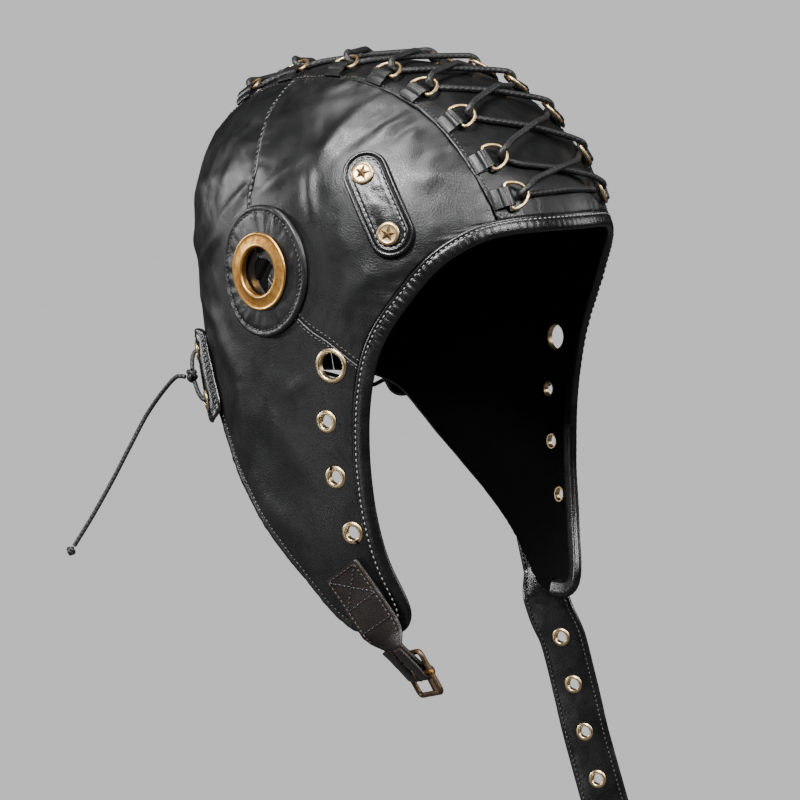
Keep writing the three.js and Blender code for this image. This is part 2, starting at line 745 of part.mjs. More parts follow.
function buildCrownLace() {
  const right = laceEnd(-1, true);
  const left = laceEnd(1, false);
  const front = onCrown(RING_ANGLES[0], 0, 2.4);
  const path = [...right.reverse(), front, ...left];
  const knotAt = onCrown(RING_ANGLES[RING_ANGLES.length - 1], 0, 5.5);
  const knot = new THREE.IcosahedronGeometry(LACE_KNOT / 2, 1).translate(knotAt.x, knotAt.y, knotAt.z);
  const tube = sweep(path, polygon(5, LACE / 2));
  add('crown_lace', shape(solid(tube).add(solid(knot))), cordBlack);
}

// Tabs beside the nape, raised along their eyelets so that the lace passes under
function backTabFrame(side) {
  const place = onBack(side * BACK_TAB_X, -BACK_TAB_DROP);
  const lean = radians(BACK_TAB_LEAN);
  return skinFrame(place, new THREE.Vector3(side * 0.36 * Math.sin(lean), -Math.sin(lean), -Math.cos(lean)));
}

// A point over a back tab: along it, across it away from the nape, and over the skin
function overBackTab(side, along, outward, off) {
  const flat = new THREE.Vector3(along, -side * outward, 0).applyMatrix4(backTabFrame(side));
  const inner = new THREE.Vector3(0, -CROWN_SETBACK, flat.z);
  return leave(inner, flat.clone().sub(inner).normalize(), off);
}

const backEyeletAt = (side, end, off) => overBackTab(side, end * (BACK_EYELET_SPACING / 2), -1.5, off);
const backTabTop = GAP + LEATHER + BACK_TAB_LIFT;

function buildBackTabs() {
  const seat = wall(GAP, backTabTop);
  const raised = wall(GAP + BACK_TAB_LIFT, backTabTop);
  const long = new THREE.Vector3();
  for (const { name, side } of SIDES) {
    const frame = backTabFrame(side);
    const outline = solid(prism(pill(BACK_TAB_LENGTH, BACK_TAB_WIDTH), -6, 14).applyMatrix4(frame));
    const sewn = -side * (BACK_TAB_WIDTH / 2 - 2.5);
    const edge = [[-40, sewn], [40, sewn], [40, -side * 40], [-40, -side * 40]];
    const sewnEdge = solid(prism(side > 0 ? edge.reverse() : edge, -6, 14).applyMatrix4(frame));
    let tab = raised.intersect(outline).add(seat.intersect(outline).intersect(sewnEdge));
    frame.extractBasis(long, new THREE.Vector3(), new THREE.Vector3());
    for (const end of [-1, 1]) {
      const at = skinFrame(backEyeletAt(side, end, backTabTop), long);
      tab = tab.subtract(hole(at, BACK_EYELET.inner / 2 + EYELET_WALL + GAP, EYELET_SIDES, 3));
      const level = end < 0 ? 'upper' : 'lower';
      add(`back_eyelet_${name}_${level}`, eyelet(at, BACK_EYELET, LEATHER - GAP), brass);
    }
    add(`back_tab_${name}`, shape(tab), trimLeather);
  }
}

// The lace between the back tabs: heights over the leather where it passes
const UNDER_TAB = GAP + BACK_LACE / 2 + 0.3;
const OVER_TAB = backTabTop + EYELET_RISE + GAP + BACK_LACE / 2 + 0.5;
const UNDER_CROSSING = 2.0;
const OVER_CROSSING = 5.2;

function nape(share, from, to, off) {
  const x = mix(from.x, to.x, share);
  return onBack(x, mix(from.z, to.z, share), off);
}

function backLaceRoute() {
  const at = (side, end, off) => backEyeletAt(side, end, off);
  const upperRight = at(-1, -1, 0);
  const lowerRight = at(-1, 1, 0);
  const upperLeft = at(1, -1, 0);
  const lowerLeft = at(1, 1, 0);
  const beside = (side, end, out, off) => overBackTab(side, end * (BACK_EYELET_SPACING / 2), out, off);
  return [
    overBackTab(-1, -3, -1.5, OVER_TAB + 1),
    overBackTab(-1, -8, -1.5, OVER_TAB + 0.4),
    at(-1, -1, OVER_TAB - 1.2),
    at(-1, -1, UNDER_TAB + 1.2),
    beside(-1, -1, -4.5, UNDER_TAB),
    beside(-1, -1, -12, UNDER_TAB),
    ...[0.2, 0.28, 0.36, 0.44, 0.52, 0.6].map((t) => nape(t, upperRight, lowerLeft, UNDER_CROSSING)),
    nape(0.7, upperRight, lowerLeft, 3.6),
    beside(1, 1, -12.5, OVER_TAB - 1.4),
    beside(1, 1, -7, OVER_TAB),
    at(1, 1, OVER_TAB - 1.2),
    at(1, 1, UNDER_TAB + 1.2),
    overBackTab(1, 8, -1.5, UNDER_TAB),
    overBackTab(1, -8, -1.5, UNDER_TAB),
    at(1, -1, UNDER_TAB + 1.2),
    at(1, -1, OVER_TAB - 1.2),
    beside(1, -1, -7, OVER_TAB),
    beside(1, -1, -12.5, OVER_TAB - 0.6),
    ...[0.25, 0.37, 0.5].map((t) => nape(t, upperLeft, lowerRight, OVER_CROSSING)),
    ...[0.6, 0.7, 0.78].map((t) => nape(t, upperLeft, lowerRight, UNDER_CROSSING + 0.4)),
    beside(-1, 1, -12, UNDER_TAB),
    beside(-1, 1, -4.5, UNDER_TAB),
    at(-1, 1, UNDER_TAB + 1.2),
    at(-1, 1, OVER_TAB - 1.2),
    overBackTab(-1, 8, -1.5, OVER_TAB + 0.4),
    overBackTab(-1, 3, -1.5, OVER_TAB + 1),
  ];
}

const backKnotAt = overBackTab(-1, 0, -1.5, OVER_TAB + 1.6);

// The free tail of the back lace, by hand: it springs out from the knot and droops behind
const TAIL_ROUTE = [
  [-70.6, 83.3, -155.0],
  [-77.6, 89.5, -171.5],
  [-84.0, 95.0, -187.0],
  [-91.2, 101.1, -203.0],
  [-97.5, 106.6, -216.0],
];

function ball(centre, diameter) {
  return new THREE.IcosahedronGeometry(diameter / 2, 1).translate(centre.x, centre.y, centre.z);
}

function buildBackLace() {
  const tube = solid(sweep(backLaceRoute(), polygon(5, BACK_LACE / 2)));
  add('back_lace', shape(tube.add(solid(ball(backKnotAt, BACK_KNOT)))), cordBlack);
  const free = TAIL_ROUTE.map((p) => new THREE.Vector3(...p));
  const leaveKnot = free[0].clone().sub(backKnotAt).setZ(-4).normalize();
  const start = backKnotAt.clone().addScaledVector(leaveKnot, BACK_KNOT / 2 + GAP);
  const second = start.clone().addScaledVector(leaveKnot, 6);
  const curve = new THREE.CatmullRomCurve3([start, second, ...free]);
  const outline = new THREE.Shape(polygon(8, BACK_LACE / 2).map(([u, v]) => new THREE.Vector2(u, v)));
  const steps = Math.round(curve.getLength() / (3 * BACK_LACE));
  const tail = new THREE.ExtrudeGeometry(outline, { steps, bevelEnabled: false, extrudePath: curve });
  add('lace_tail', facedOut(bare(tail)), cordBlack);
  const last = free[free.length - 1];
  const knotAt = last.clone().addScaledVector(curve.getTangent(1), TAIL_KNOT / 2 + GAP);
  add('tail_knot', ball(knotAt, TAIL_KNOT), cordBlack);
}

// A place on a strap: forward of the ear line and out from the middle as shares of the cap's sizes,
// and its height over the flap tip
const strapY = (forward) => -CROWN_SETBACK - forward * FRONT_REACH;
const strapZ = (height) => height - FLAP_DROP;

// The chin strap on the left flap: with heights over the skin where it is sewn, then free
const CHIN_SEWN = [
  { forward: 0.10, height: 33, off: 1.6 },
  { forward: 0.15, height: 22, off: 1.6 },
  { forward: 0.20, height: 10, off: 2.0 },
  { forward: 0.24, height: 0, off: 2.6 },
];
const CHIN_FREE = [
  { out: 0.818, forward: 0.285, height: -10.0 },
  { out: 0.836, forward: 0.336, height: -21.2 },
  { out: 0.855, forward: 0.392, height: -43.5 },
  { out: 0.867, forward: 0.450, height: -66.0 },
  { out: 0.879, forward: 0.515, height: -87.3 },
  { out: 0.891, forward: 0.575, height: -106.0 },
];
const CHIN_TIP = 24;          // tapered end past the last section

function strapNormals(path, bySkin) {
  const fixed = skinNormal(path[bySkin - 1]);
  return path.map((p, i) => (i < bySkin ? skinNormal(p) : fixed));
}

function buildChinStrap() {
  const sewn = CHIN_SEWN.map((row) => onSide(1, strapY(row.forward), strapZ(row.height), row.off));
  const free = CHIN_FREE.map((row) => new THREE.Vector3(
    row.out * HALF_WIDTH,
    strapY(row.forward),
    strapZ(row.height),
  ));
  const path = [...sewn, ...free];
  const facing = new THREE.Vector3(0.95, 0.3, 0).normalize();
  const normals = strapNormals(path, sewn.length).map((n, i) => (i < sewn.length - 1 ? n : facing));
  const end = path[path.length - 1];
  const ahead = end.clone().sub(path[path.length - 2]).normalize();
  const body = solid(sweep(path, flatSection(CHIN_STRAP_WIDTH, STRAP_LEATHER), { normals }));
  const tipFrame = new THREE.Matrix4().makeBasis(
    ahead,
    new THREE.Vector3().crossVectors(facing, ahead).normalize(),
    new THREE.Vector3().crossVectors(ahead, new THREE.Vector3().crossVectors(facing, ahead)).normalize(),
  ).setPosition(end);
  const w = CHIN_STRAP_WIDTH / 2;
  const point = [[-1, -w], [0.45 * CHIN_TIP, -w], [0.85 * CHIN_TIP, -0.5 * w], [CHIN_TIP, 0],
    [0.85 * CHIN_TIP, 0.5 * w], [0.45 * CHIN_TIP, w], [-1, w]];
  let strap = body.add(solid(prism(point, -STRAP_LEATHER / 2, STRAP_LEATHER / 2).applyMatrix4(tipFrame)));
  const line = new THREE.CurvePath();
  for (let i = 0; i < free.length - 1; i += 1) line.add(new THREE.LineCurve3(free[i], free[i + 1]));
  for (let k = 0; k < 4; k += 1) {
    const along = (CHIN_FIRST_EYELET + k * CHIN_EYELET_PITCH) / line.getLength();
    const at = line.getPointAt(along);
    const way = line.getTangentAt(along);
    const out = facing.clone().addScaledVector(way, -facing.dot(way)).normalize().negate();
    const frame = new THREE.Matrix4().makeBasis(way, new THREE.Vector3().crossVectors(out, way), out)
      .setPosition(at.clone().addScaledVector(out, STRAP_LEATHER / 2));
    strap = strap.subtract(hole(frame, STRAP_EYELET.inner / 2 + EYELET_WALL + GAP, EYELET_SIDES, 6));
    add(`strap_eyelet_${k + 1}`, eyelet(frame, STRAP_EYELET, STRAP_LEATHER + GAP / 2), brass);
  }
  add('chin_strap', shape(strap), trimLeather);
}

// The buckle strap on the right flap, with heights over the skin where it is sewn
const BUCKLE_SEWN = [
  { forward: 0.248, height: 29.5, off: 1.6 },
  { forward: 0.306, height: 20.5, off: 1.7 },
  { forward: 0.360, height: 12.5, off: 3.0 },
  { forward: 0.408, height: 5.0, off: 4.2 },
];
const BUCKLE_BAR = { out: 0.6606, forward: 0.528, height: -15.5 };
const buckleSewn = BUCKLE_SEWN.map((row) => onSide(-1, strapY(row.forward), strapZ(row.height), row.off));
const buckleBar = new THREE.Vector3(
  -BUCKLE_BAR.out * HALF_WIDTH,
  strapY(BUCKLE_BAR.forward),
  strapZ(BUCKLE_BAR.height),
);
const buckleAhead = new THREE.Vector3(0.51, -0.465, -0.72).normalize();

// The strap hangs twisted, with the buckle's face turned in and up
const buckleOut = new THREE.Vector3(0.785, -0.24, 0.57);
buckleOut.addScaledVector(buckleAhead, -buckleOut.dot(buckleAhead)).normalize();
const foldStart = buckleBar.clone().addScaledVector(buckleAhead, -FOLD_LENGTH);

// Along the strap, across it, and out of its face, at the bar of the buckle
const buckleFrame = new THREE.Matrix4().makeBasis(
  buckleAhead,
  new THREE.Vector3().crossVectors(buckleOut, buckleAhead),
  buckleOut,
).setPosition(buckleBar);
const tiltedFrame = buckleFrame.clone().multiply(new THREE.Matrix4().makeRotationY(radians(BUCKLE_TILT)));

// A plate of an outline in the plane of the strap's length and thickness
function buckleSlice(frame, outline, width, holes = []) {
  const flat = new THREE.Shape(outline.map(([u, v]) => new THREE.Vector2(u, v)));
  for (const eye of holes) flat.holes.push(new THREE.Path(eye.map(([u, v]) => new THREE.Vector2(u, v))));
  const geometry = new THREE.ExtrudeGeometry(flat, { depth: width, bevelEnabled: false });
  return solid(geometry.translate(0, 0, -width / 2).rotateX(Math.PI / 2).applyMatrix4(frame));
}

function arcPoints(radius, from, to, steps) {
  return Array.from({ length: steps + 1 }, (_, k) => {
    const turn = mix(from, to, k / steps);
    return [radius * Math.cos(turn), radius * Math.sin(turn)];
  });
}

const barEye = BUCKLE_WIRE / 2 + HINGE_CLEARANCE;
const foldRound = barEye + FOLD_LEATHER;

function buildBuckleStrap() {
  const top = STRAP_LEATHER / 2;
  const under = -top - FOLD_LEATHER;
  const sewnEnd = buckleSewn[buckleSewn.length - 1];
  const turned = sewnEnd.clone().lerp(foldStart, 0.5);
  const path = [...buckleSewn, turned, foldStart, foldStart.clone().addScaledVector(buckleAhead, 4)];
  const back = buckleOut.clone().negate();
  const skin = buckleSewn.map((p) => skinNormal(p));
  const normals = [...skin, skin[skin.length - 1].clone().lerp(back, 0.35), back, back];
  const body = solid(sweep(path, flatSection(BUCKLE_STRAP_WIDTH, STRAP_LEATHER), { normals }));
  const start = -FOLD_LENGTH + 1;
  const loop = arcPoints(foldRound, -0.6 * Math.PI, 0.6 * Math.PI, 8);
  const outline = [[start, -top], [start + 1, under], [-6, under], ...loop, [-6, top], [start, top]];
  const eye = polygon(8, around(barEye, 8)).reverse();
  const slot = [[-foldRound - 1, -10], [10, -10], [10, 10], [-foldRound - 1, 10]];
  const fold = buckleSlice(buckleFrame, outline, BUCKLE_STRAP_WIDTH, [eye])
    .subtract(buckleSlice(buckleFrame, slot, PRONG_WIDTH + 4 * GAP));
  add('buckle_strap', shape(body.add(fold)), brownLeather);
}

// A frame with its bar in the middle, and a prong that lies on the far end bar
function buildBuckle() {
  const wide = (BUCKLE_INNER_WIDTH + BUCKLE_WIRE) / 2;
  const far = BUCKLE_HALF_LENGTH;
  const corner = 2;
  const quarter = [[far - corner, wide], [far - 0.3 * corner, wide - 0.3 * corner], [far, wide - corner]];
  const flat = [
    ...quarter,
    ...quarter.map(([u, v]) => [u, -v]).reverse(),
    ...quarter.map(([u, v]) => [-u, -v]),
    ...quarter.map(([u, v]) => [-u, v]).reverse(),
  ];
  const path = flat.map(([u, v]) => new THREE.Vector3(u, v, 0));
  const up = new THREE.Vector3(0, 0, 1);
  const rim = sweep(path, polygon(6, BUCKLE_WIRE / 2), { closed: true, normals: path.map(() => up) });
  const span = 2 * (wide + BUCKLE_WIRE / 2 + BOSS_REACH);
  const bar = new THREE.CylinderGeometry(BUCKLE_WIRE / 2, BUCKLE_WIRE / 2, span, 6);
  const frame = solid(rim.applyMatrix4(tiltedFrame)).add(solid(bar.applyMatrix4(tiltedFrame)));
  add('buckle_frame', shape(frame), darkSteel);

  const round = barEye + PRONG_THICK;
  const rest = BUCKLE_WIRE / 2 + GAP;
  const curl = arcPoints(round, 0.3 * Math.PI, 1.92 * Math.PI, 10);
  const pin = [[far + 1.6, rest + 0.1], [far + 1.9, rest + 0.9], [round + 1.4, rest + PRONG_THICK]];
  const outline = [...curl, [round + 0.8, rest - 0.1], ...pin];
  const eye = polygon(8, around(barEye, 8)).reverse();
  add('buckle_prong', shape(buckleSlice(tiltedFrame, outline, PRONG_WIDTH, [eye])), darkSteel);
}

buildStrip();
buildPanels();
buildBinding();
buildEars();
buildSideTabs();
buildRings();
buildCrownLace();
buildBackTabs();
buildBackLace();
buildChinStrap();
buildBuckleStrap();
buildBuckle();

export default group;
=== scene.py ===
# %% [markdown]
# # A lace-up leather cap
#
# The real thing is a close cap of thin black leather. A strip runs over the crown, two panels cover each
# side, a folded band trims the face, and brass rings, eyelets and studs carry the lacing and the straps.
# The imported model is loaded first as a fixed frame, and every new piece is laid on it in millimetres.

# %% Load the frame
import bpy
import json
import math
import numpy as np
from mathutils import Matrix, Vector, noise

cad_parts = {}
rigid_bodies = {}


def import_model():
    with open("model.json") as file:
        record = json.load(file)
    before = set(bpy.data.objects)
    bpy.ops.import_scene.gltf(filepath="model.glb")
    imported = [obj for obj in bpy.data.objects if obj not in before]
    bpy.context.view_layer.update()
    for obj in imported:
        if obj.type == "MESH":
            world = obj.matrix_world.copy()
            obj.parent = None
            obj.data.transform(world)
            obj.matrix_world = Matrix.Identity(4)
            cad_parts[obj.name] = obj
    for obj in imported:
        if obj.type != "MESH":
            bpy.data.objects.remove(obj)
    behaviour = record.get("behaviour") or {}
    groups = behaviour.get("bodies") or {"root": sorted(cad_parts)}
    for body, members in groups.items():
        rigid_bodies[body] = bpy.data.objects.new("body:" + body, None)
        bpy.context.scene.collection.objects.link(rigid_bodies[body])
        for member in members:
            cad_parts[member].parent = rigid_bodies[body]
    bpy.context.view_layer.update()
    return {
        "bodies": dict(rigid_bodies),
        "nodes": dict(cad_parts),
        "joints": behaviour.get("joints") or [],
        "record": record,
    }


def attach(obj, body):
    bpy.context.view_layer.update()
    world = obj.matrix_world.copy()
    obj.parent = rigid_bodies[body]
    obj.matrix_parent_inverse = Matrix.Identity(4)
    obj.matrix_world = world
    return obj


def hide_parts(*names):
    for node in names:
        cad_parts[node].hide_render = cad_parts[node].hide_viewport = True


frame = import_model()
bpy.ops.object.select_all(action="DESELECT")

# %% [markdown]
# ## Camera
#
# A camera can be placed by eye or worked out. Here the photograph's view was worked out beforehand: the
# camera looks at the middle of the cap from the wearer's right and front, a little above it. A long lens
# at a metre and a half keeps the flat look of a product picture.

# %% Camera
MM = 0.001
CAMERA_AZIMUTH = -48.903
CAMERA_ELEVATION = 5.216
CAMERA_ROLL = -0.85
CAMERA_DISTANCE = 1.5
CAMERA_AIM = Vector((0, -0.010, -0.120))
AIM_PIXEL = (406.01, 330.88)
PICTURE_WIDTH = 800
LENS = 150


def direction_from(azimuth, elevation):
    """The way from the aim to a thing seen at that azimuth and elevation, in degrees."""
    turn, rise = math.radians(azimuth), math.radians(elevation)
    return Vector((math.sin(turn) * math.cos(rise), -math.cos(turn) * math.cos(rise), math.sin(rise)))


camera_data = bpy.data.cameras.new("camera")
camera_data.lens = LENS
camera_data.sensor_width = 36
camera_data.shift_x = (PICTURE_WIDTH / 2 - AIM_PIXEL[0]) / PICTURE_WIDTH
camera_data.shift_y = (AIM_PIXEL[1] - PICTURE_WIDTH / 2) / PICTURE_WIDTH
camera = bpy.data.objects.new("camera", camera_data)
bpy.context.collection.objects.link(camera)
back = direction_from(CAMERA_AZIMUTH, CAMERA_ELEVATION)
camera.location = CAMERA_AIM + back * CAMERA_DISTANCE
looks = back.to_track_quat("Z", "Y").to_matrix()
roll = Matrix.Rotation(math.radians(CAMERA_ROLL), 3, "Z")
camera.rotation_euler = (looks @ roll).to_euler()
bpy.context.scene.camera = camera
print("camera at", [round(v, 3) for v in camera.location])

# %% [markdown]
# ## The skin of the cap
#
# All the leather follows one surface. Over the girth it is a soft box-like dome, and under it the level
# sections are read from a short table of shares. A point of the leather is found by walking outwards
# from inside until the surface is crossed, which works for any part of the cap.

# %% Sizes of the cap, in millimetres
LEATHER = 2.0
HALF_WIDTH = 82.5
FRONT_REACH = 100.0
BACK_REACH = 103.5
CROWN_HEIGHT = 85.0
CROWN_SETBACK = 10.0
BROW_DROP = 71.0
FLAP_DROP = 246.0
NAPE_DROP = 145.0
FRONT_FULLNESS = 2.07
SIDE_FULLNESS = 2.37
BACK_FULLNESS = 2.3
GAP = 0.3
BINDING_WIDTH = 6.5
TOP_Z = LEATHER
GIRTH_Z = TOP_Z - CROWN_HEIGHT
SKIRT = FLAP_DROP + GIRTH_Z
EAR = np.array([0.0, -88.0])

# Drop of the skirt, then half width, front and back as shares of the girth's sizes
SKIRT_SECTIONS = np.array([
    [0.00, 1.000, 1.00, 1.00],
    [0.18, 0.995, 1.00, 0.95],
    [0.46, 0.960, 0.98, 0.87],
    [0.61, 0.945, 0.97, 0.83],
    [0.77, 0.920, 0.96, 0.79],
    [0.94, 0.850, 0.95, 0.74],
    [1.04, 0.800, 0.94, 0.72],
    [1.40, 0.760, 0.91, 0.68],
])
# Forward and down as shares, from the brow to the flap tip
FRONT_EDGE = np.array([
    [1.000, 0.000], [0.900, 0.006], [0.816, 0.027], [0.704, 0.084],
    [0.600, 0.166], [0.505, 0.252], [0.453, 0.326], [0.416, 0.430],
    [0.404, 0.530], [0.410, 0.630], [0.424, 0.703], [0.458, 0.805],
    [0.515, 0.915], [0.505, 0.966], [0.440, 0.995], [0.330, 1.000],
])
# Back and down as shares, from the flap tip to the nape
BACK_HEM = np.array([
    [-0.320, 1.000], [-0.200, 0.953], [-0.010, 0.745], [0.200, 0.535], [0.380, 0.335],
    [0.475, 0.210], [0.570, 0.090], [0.700, 0.020], [0.900, 0.000], [1.100, 0.000],
])
# The upright seam over the ear and the slanted seam in front of it, as y and z
UPRIGHT_SEAM = np.array([EAR, [8.5, -60], [8.5, -45], [12, -28], [15, -14], [20, 10]])
SLANTED_SEAM = np.array([EAR, [-21, -108.5], [-36, -118], [-49, -127.5], [-72, -142]])
# The strip's half width by y
STRIP_Y = [-FRONT_REACH, -90, -82, -60, 0, BACK_REACH]
STRIP_HALF = [36.5, 39.0, 40.0, 40.2, 42, 38]


# %% Walk out to the skin
def smooth_table(keys, values, at):
    """A smooth curve through the rows of a table, read at many places at once."""
    order = np.arange(len(keys))
    before = np.maximum(order - 1, 0)
    after = np.minimum(order + 1, len(keys) - 1)
    slope = (values[after] - values[before]) / (keys[after] - keys[before])
    i = np.clip(np.searchsorted(keys, at) - 1, 0, len(keys) - 2)
    span = keys[i + 1] - keys[i]
    t = np.clip((at - keys[i]) / span, 0, 1)
    keep = 2 * t**3 - 3 * t**2 + 1
    bend = (t**3 - 2 * t**2 + t) * slope[i] + (t**3 - t**2) * slope[i + 1]
    return keep * values[i] + (1 - keep) * values[i + 1] + span * bend


def depth(point, off=0.0):
    """Below zero inside the skin and above zero outside it."""
    x, y, z = np.moveaxis(np.asarray(point, float), -1, 0)
    height = TOP_Z + off - GIRTH_Z
    drop = np.maximum(GIRTH_Z - z, 0) / SKIRT
    half, ahead, behind = (smooth_table(SKIRT_SECTIONS[:, 0], SKIRT_SECTIONS[:, k], drop) for k in (1, 2, 3))
    along = y + CROWN_SETBACK * (1 - np.clip((z - GIRTH_Z) / height, 0, 1))
    is_back = along > 0
    reach = np.where(is_back, behind * BACK_REACH, ahead * FRONT_REACH) + off
    across = x / (half * HALF_WIDTH + off)
    level = np.hypot(across, along / reach) + 1e-9
    share = (along / reach / level) ** 2
    power = SIDE_FULLNESS + share * (np.where(is_back, BACK_FULLNESS, FRONT_FULLNESS) - SIDE_FULLNESS)
    rise = np.maximum((z - GIRTH_Z) / height, 0)
    return (level**power + rise**power) ** (1 / power) - 1


def leave(start, way, off=0.0):
    """Where rays from inner points leave the skin."""
    start, way = np.broadcast_arrays(np.asarray(start, float), np.asarray(way, float))
    near = np.zeros(start.shape[:-1])
    far = near + 3 * FRONT_REACH
    for _ in range(30):
        middle = (near + far) / 2
        out = depth(start + way * middle[..., None], off) > 0
        far = np.where(out, middle, far)
        near = np.where(out, near, middle)
    return start + way * near[..., None]


def on_side(side, y, z, off=0.0):
    y, z = np.broadcast_arrays(np.asarray(y, float), np.asarray(z, float))
    return leave(np.stack([0 * y, y, z], -1), (side, 0, 0), off)


def on_back(x, z, off=0.0):
    x, z = np.broadcast_arrays(np.asarray(x, float), np.asarray(z, float))
    return leave(np.stack([x, 0 * x, z], -1), (0, 1, 0), off)


def on_crown(angle, x, off=0.0):
    """A point of the crown: degrees round the girth's middle from the front, and x."""
    turn, x = np.broadcast_arrays(np.radians(angle), np.asarray(x, float))
    start = np.stack([x, 0 * x - CROWN_SETBACK, 0 * x + GIRTH_Z], -1)
    return leave(start, np.stack([0 * x, -np.cos(turn), np.sin(turn)], -1), off)


def unit(vectors):
    return vectors / np.linalg.norm(vectors, axis=-1, keepdims=True)


def skin_normal(point):
    step = 0.5
    slopes = [depth(point + step * axis) - depth(point - step * axis) for axis in np.eye(3)]
    return unit(np.stack(slopes, -1))


def skin_frame(point, along):
    """Axes on the skin: x along a chosen way, z off the skin."""
    out = skin_normal(point)
    ahead = unit(along - np.sum(along * out, -1, keepdims=True) * out)
    return ahead, np.cross(out, ahead), out


def strip_half(y):
    return np.interp(y, STRIP_Y, STRIP_HALF)


print("ear point", on_side(-1, *EAR).round(1), "crown", on_crown(90, 0).round(1))

# %% [markdown]
# ## Floor, light and air
#
# A pale sweep that curves up behind the object hides the horizon. It is a plane whose back edge is
# extruded upwards, and a bevel rounds the bend. Large area lights give leather its broad, soft gloss:
# one in front of the brow, one from behind for the nape, and one overhead for the crown.

# %% Floor
FLOOR_Z = -0.62
SWEEP_SIZE = 9.0
bpy.ops.mesh.primitive_plane_add(size=SWEEP_SIZE, location=(0, 0, FLOOR_Z))
sweep_floor = bpy.context.object
sweep_floor.name = "studio_floor"
view_turn = Matrix.Rotation(math.radians(CAMERA_AZIMUTH), 4, "Z")
sweep_floor.data.transform(view_turn)
bpy.ops.object.mode_set(mode="EDIT")
bpy.ops.mesh.select_all(action="DESELECT")
bpy.ops.mesh.select_mode(type="EDGE")
bpy.ops.object.mode_set(mode="OBJECT")
away = -Vector(back).normalized()
for edge in sweep_floor.data.edges:
    ends = [sweep_floor.data.vertices[v].co for v in edge.vertices]
    edge.select = all(end.dot(away) > 0.45 * SWEEP_SIZE for end in ends)
bpy.ops.object.mode_set(mode="EDIT")
bpy.ops.mesh.extrude_region_move(TRANSFORM_OT_translate={"value": (0, 0, SWEEP_SIZE / 2)})
bpy.ops.object.mode_set(mode="OBJECT")
bend = sweep_floor.modifiers.new("bend", "BEVEL")
bend.width = 1.6
bend.segments = 24
bpy.ops.object.modifier_apply(modifier="bend")
bpy.ops.object.shade_smooth()
print("floor", len(sweep_floor.data.polygons), "faces")

# %% Floor finish
BACKGROUND = 0.70
pale = bpy.data.materials.new("pale_paper")
pale.use_nodes = True
nodes, links = pale.node_tree.nodes, pale.node_tree.links
paper = nodes["Principled BSDF"]
paper.inputs["Base Color"].default_value = (0.08, 0.08, 0.08, 1)
paper.inputs["Roughness"].default_value = 1.0
seen = nodes.new("ShaderNodeLightPath")
glow = nodes.new("ShaderNodeEmission")
glow.inputs["Color"].default_value = (BACKGROUND, BACKGROUND, BACKGROUND, 1)
either = nodes.new("ShaderNodeMixShader")
links.new(seen.outputs["Is Camera Ray"], either.inputs[0])
links.new(paper.outputs[0], either.inputs[1])
links.new(glow.outputs[0], either.inputs[2])
links.new(either.outputs[0], nodes["Material Output"].inputs["Surface"])
sweep_floor.data.materials.append(pale)

# %% Lights and air
LIGHTS = [
    # name, azimuth, elevation, distance, size, watts
    ("side_softbox", -74, 44, 1.3, 0.4, 40),
    ("brow_light", -8, 34, 1.4, 0.4, 20),
    ("crown_light", -115, 80, 1.5, 0.4, 16),
    ("nape_light", -152, 12, 1.7, 0.3, 14),
    ("low_light", -112, -12, 1.3, 0.3, 1.2),
    ("cheek_light", 60, 15, 2.0, 0.6, 8),
]
for name, azimuth, elevation, distance, size, watts in LIGHTS:
    lamp = bpy.data.lights.new(name, "AREA")
    lamp.size = size
    lamp.energy = watts
    holder = bpy.data.objects.new(name, lamp)
    way = direction_from(azimuth, elevation)
    holder.location = CAMERA_AIM + way * distance
    holder.rotation_euler = way.to_track_quat("Z", "Y").to_euler()
    bpy.context.collection.objects.link(holder)

air = bpy.data.worlds.new("studio_air")
air.use_nodes = True
air.node_tree.nodes["Background"].inputs["Color"].default_value = (1, 1, 1, 1)
air.node_tree.nodes["Background"].inputs["Strength"].default_value = 0.03
bpy.context.scene.world = air
print(len(LIGHTS), "lights")

# %% [markdown]
# ## Shader groups
#
# Leather grain is a net of small cells with finer creases across it, and it is shared by every leather
# here, so it is a group with its own inputs. It puts out a height for a Bump node, a tone that lightens
# rubbed places, and a roughness that follows both. Metal gets a group of its own.

# %% Helpers for shader nodes
def node_group(name, inputs, outputs):
    """An empty shader group with named sockets: (name, type, value)."""
    group = bpy.data.node_groups.new(name, "ShaderNodeTree")
    for socket, kind, value in inputs:
        made = group.interface.new_socket(socket, in_out="INPUT", socket_type=kind)
        if value is not None:
            made.default_value = value
    for socket, kind in outputs:
        group.interface.new_socket(socket, in_out="OUTPUT", socket_type=kind)
    return group, group.nodes.new("NodeGroupInput"), group.nodes.new("NodeGroupOutput")


def put(tree, kind, settings=None, **sockets):
    """A node with its settings and sockets: a socket gets a value or another node's output."""
    node = tree.nodes.new(kind)
    for key, value in (settings or {}).items():
        setattr(node, key, value)
    for key, value in sockets.items():
        plain = key[1:].isdigit()
        socket = node.inputs[int(key[1:]) if plain else key.replace("_", " ")]
        if isinstance(value, bpy.types.NodeSocket):
            tree.links.new(value, socket)
        else:
            socket.default_value = value
    return node


def math_node(tree, operation, a, b=0.0):
    return put(tree, "ShaderNodeMath", {"operation": operation}, i0=a, i1=b).outputs[0]


def ramp(tree, value, low, high, to_low=0.0, to_high=1.0):
    """A clamped rise from one value to another."""
    node = put(tree, "ShaderNodeMapRange", {"clamp": True}, Value=value)
    for socket, number in zip(("From Min", "From Max", "To Min", "To Max"), (low, high, to_low, to_high)):
        node.inputs[socket].default_value = number
    return node.outputs[0]


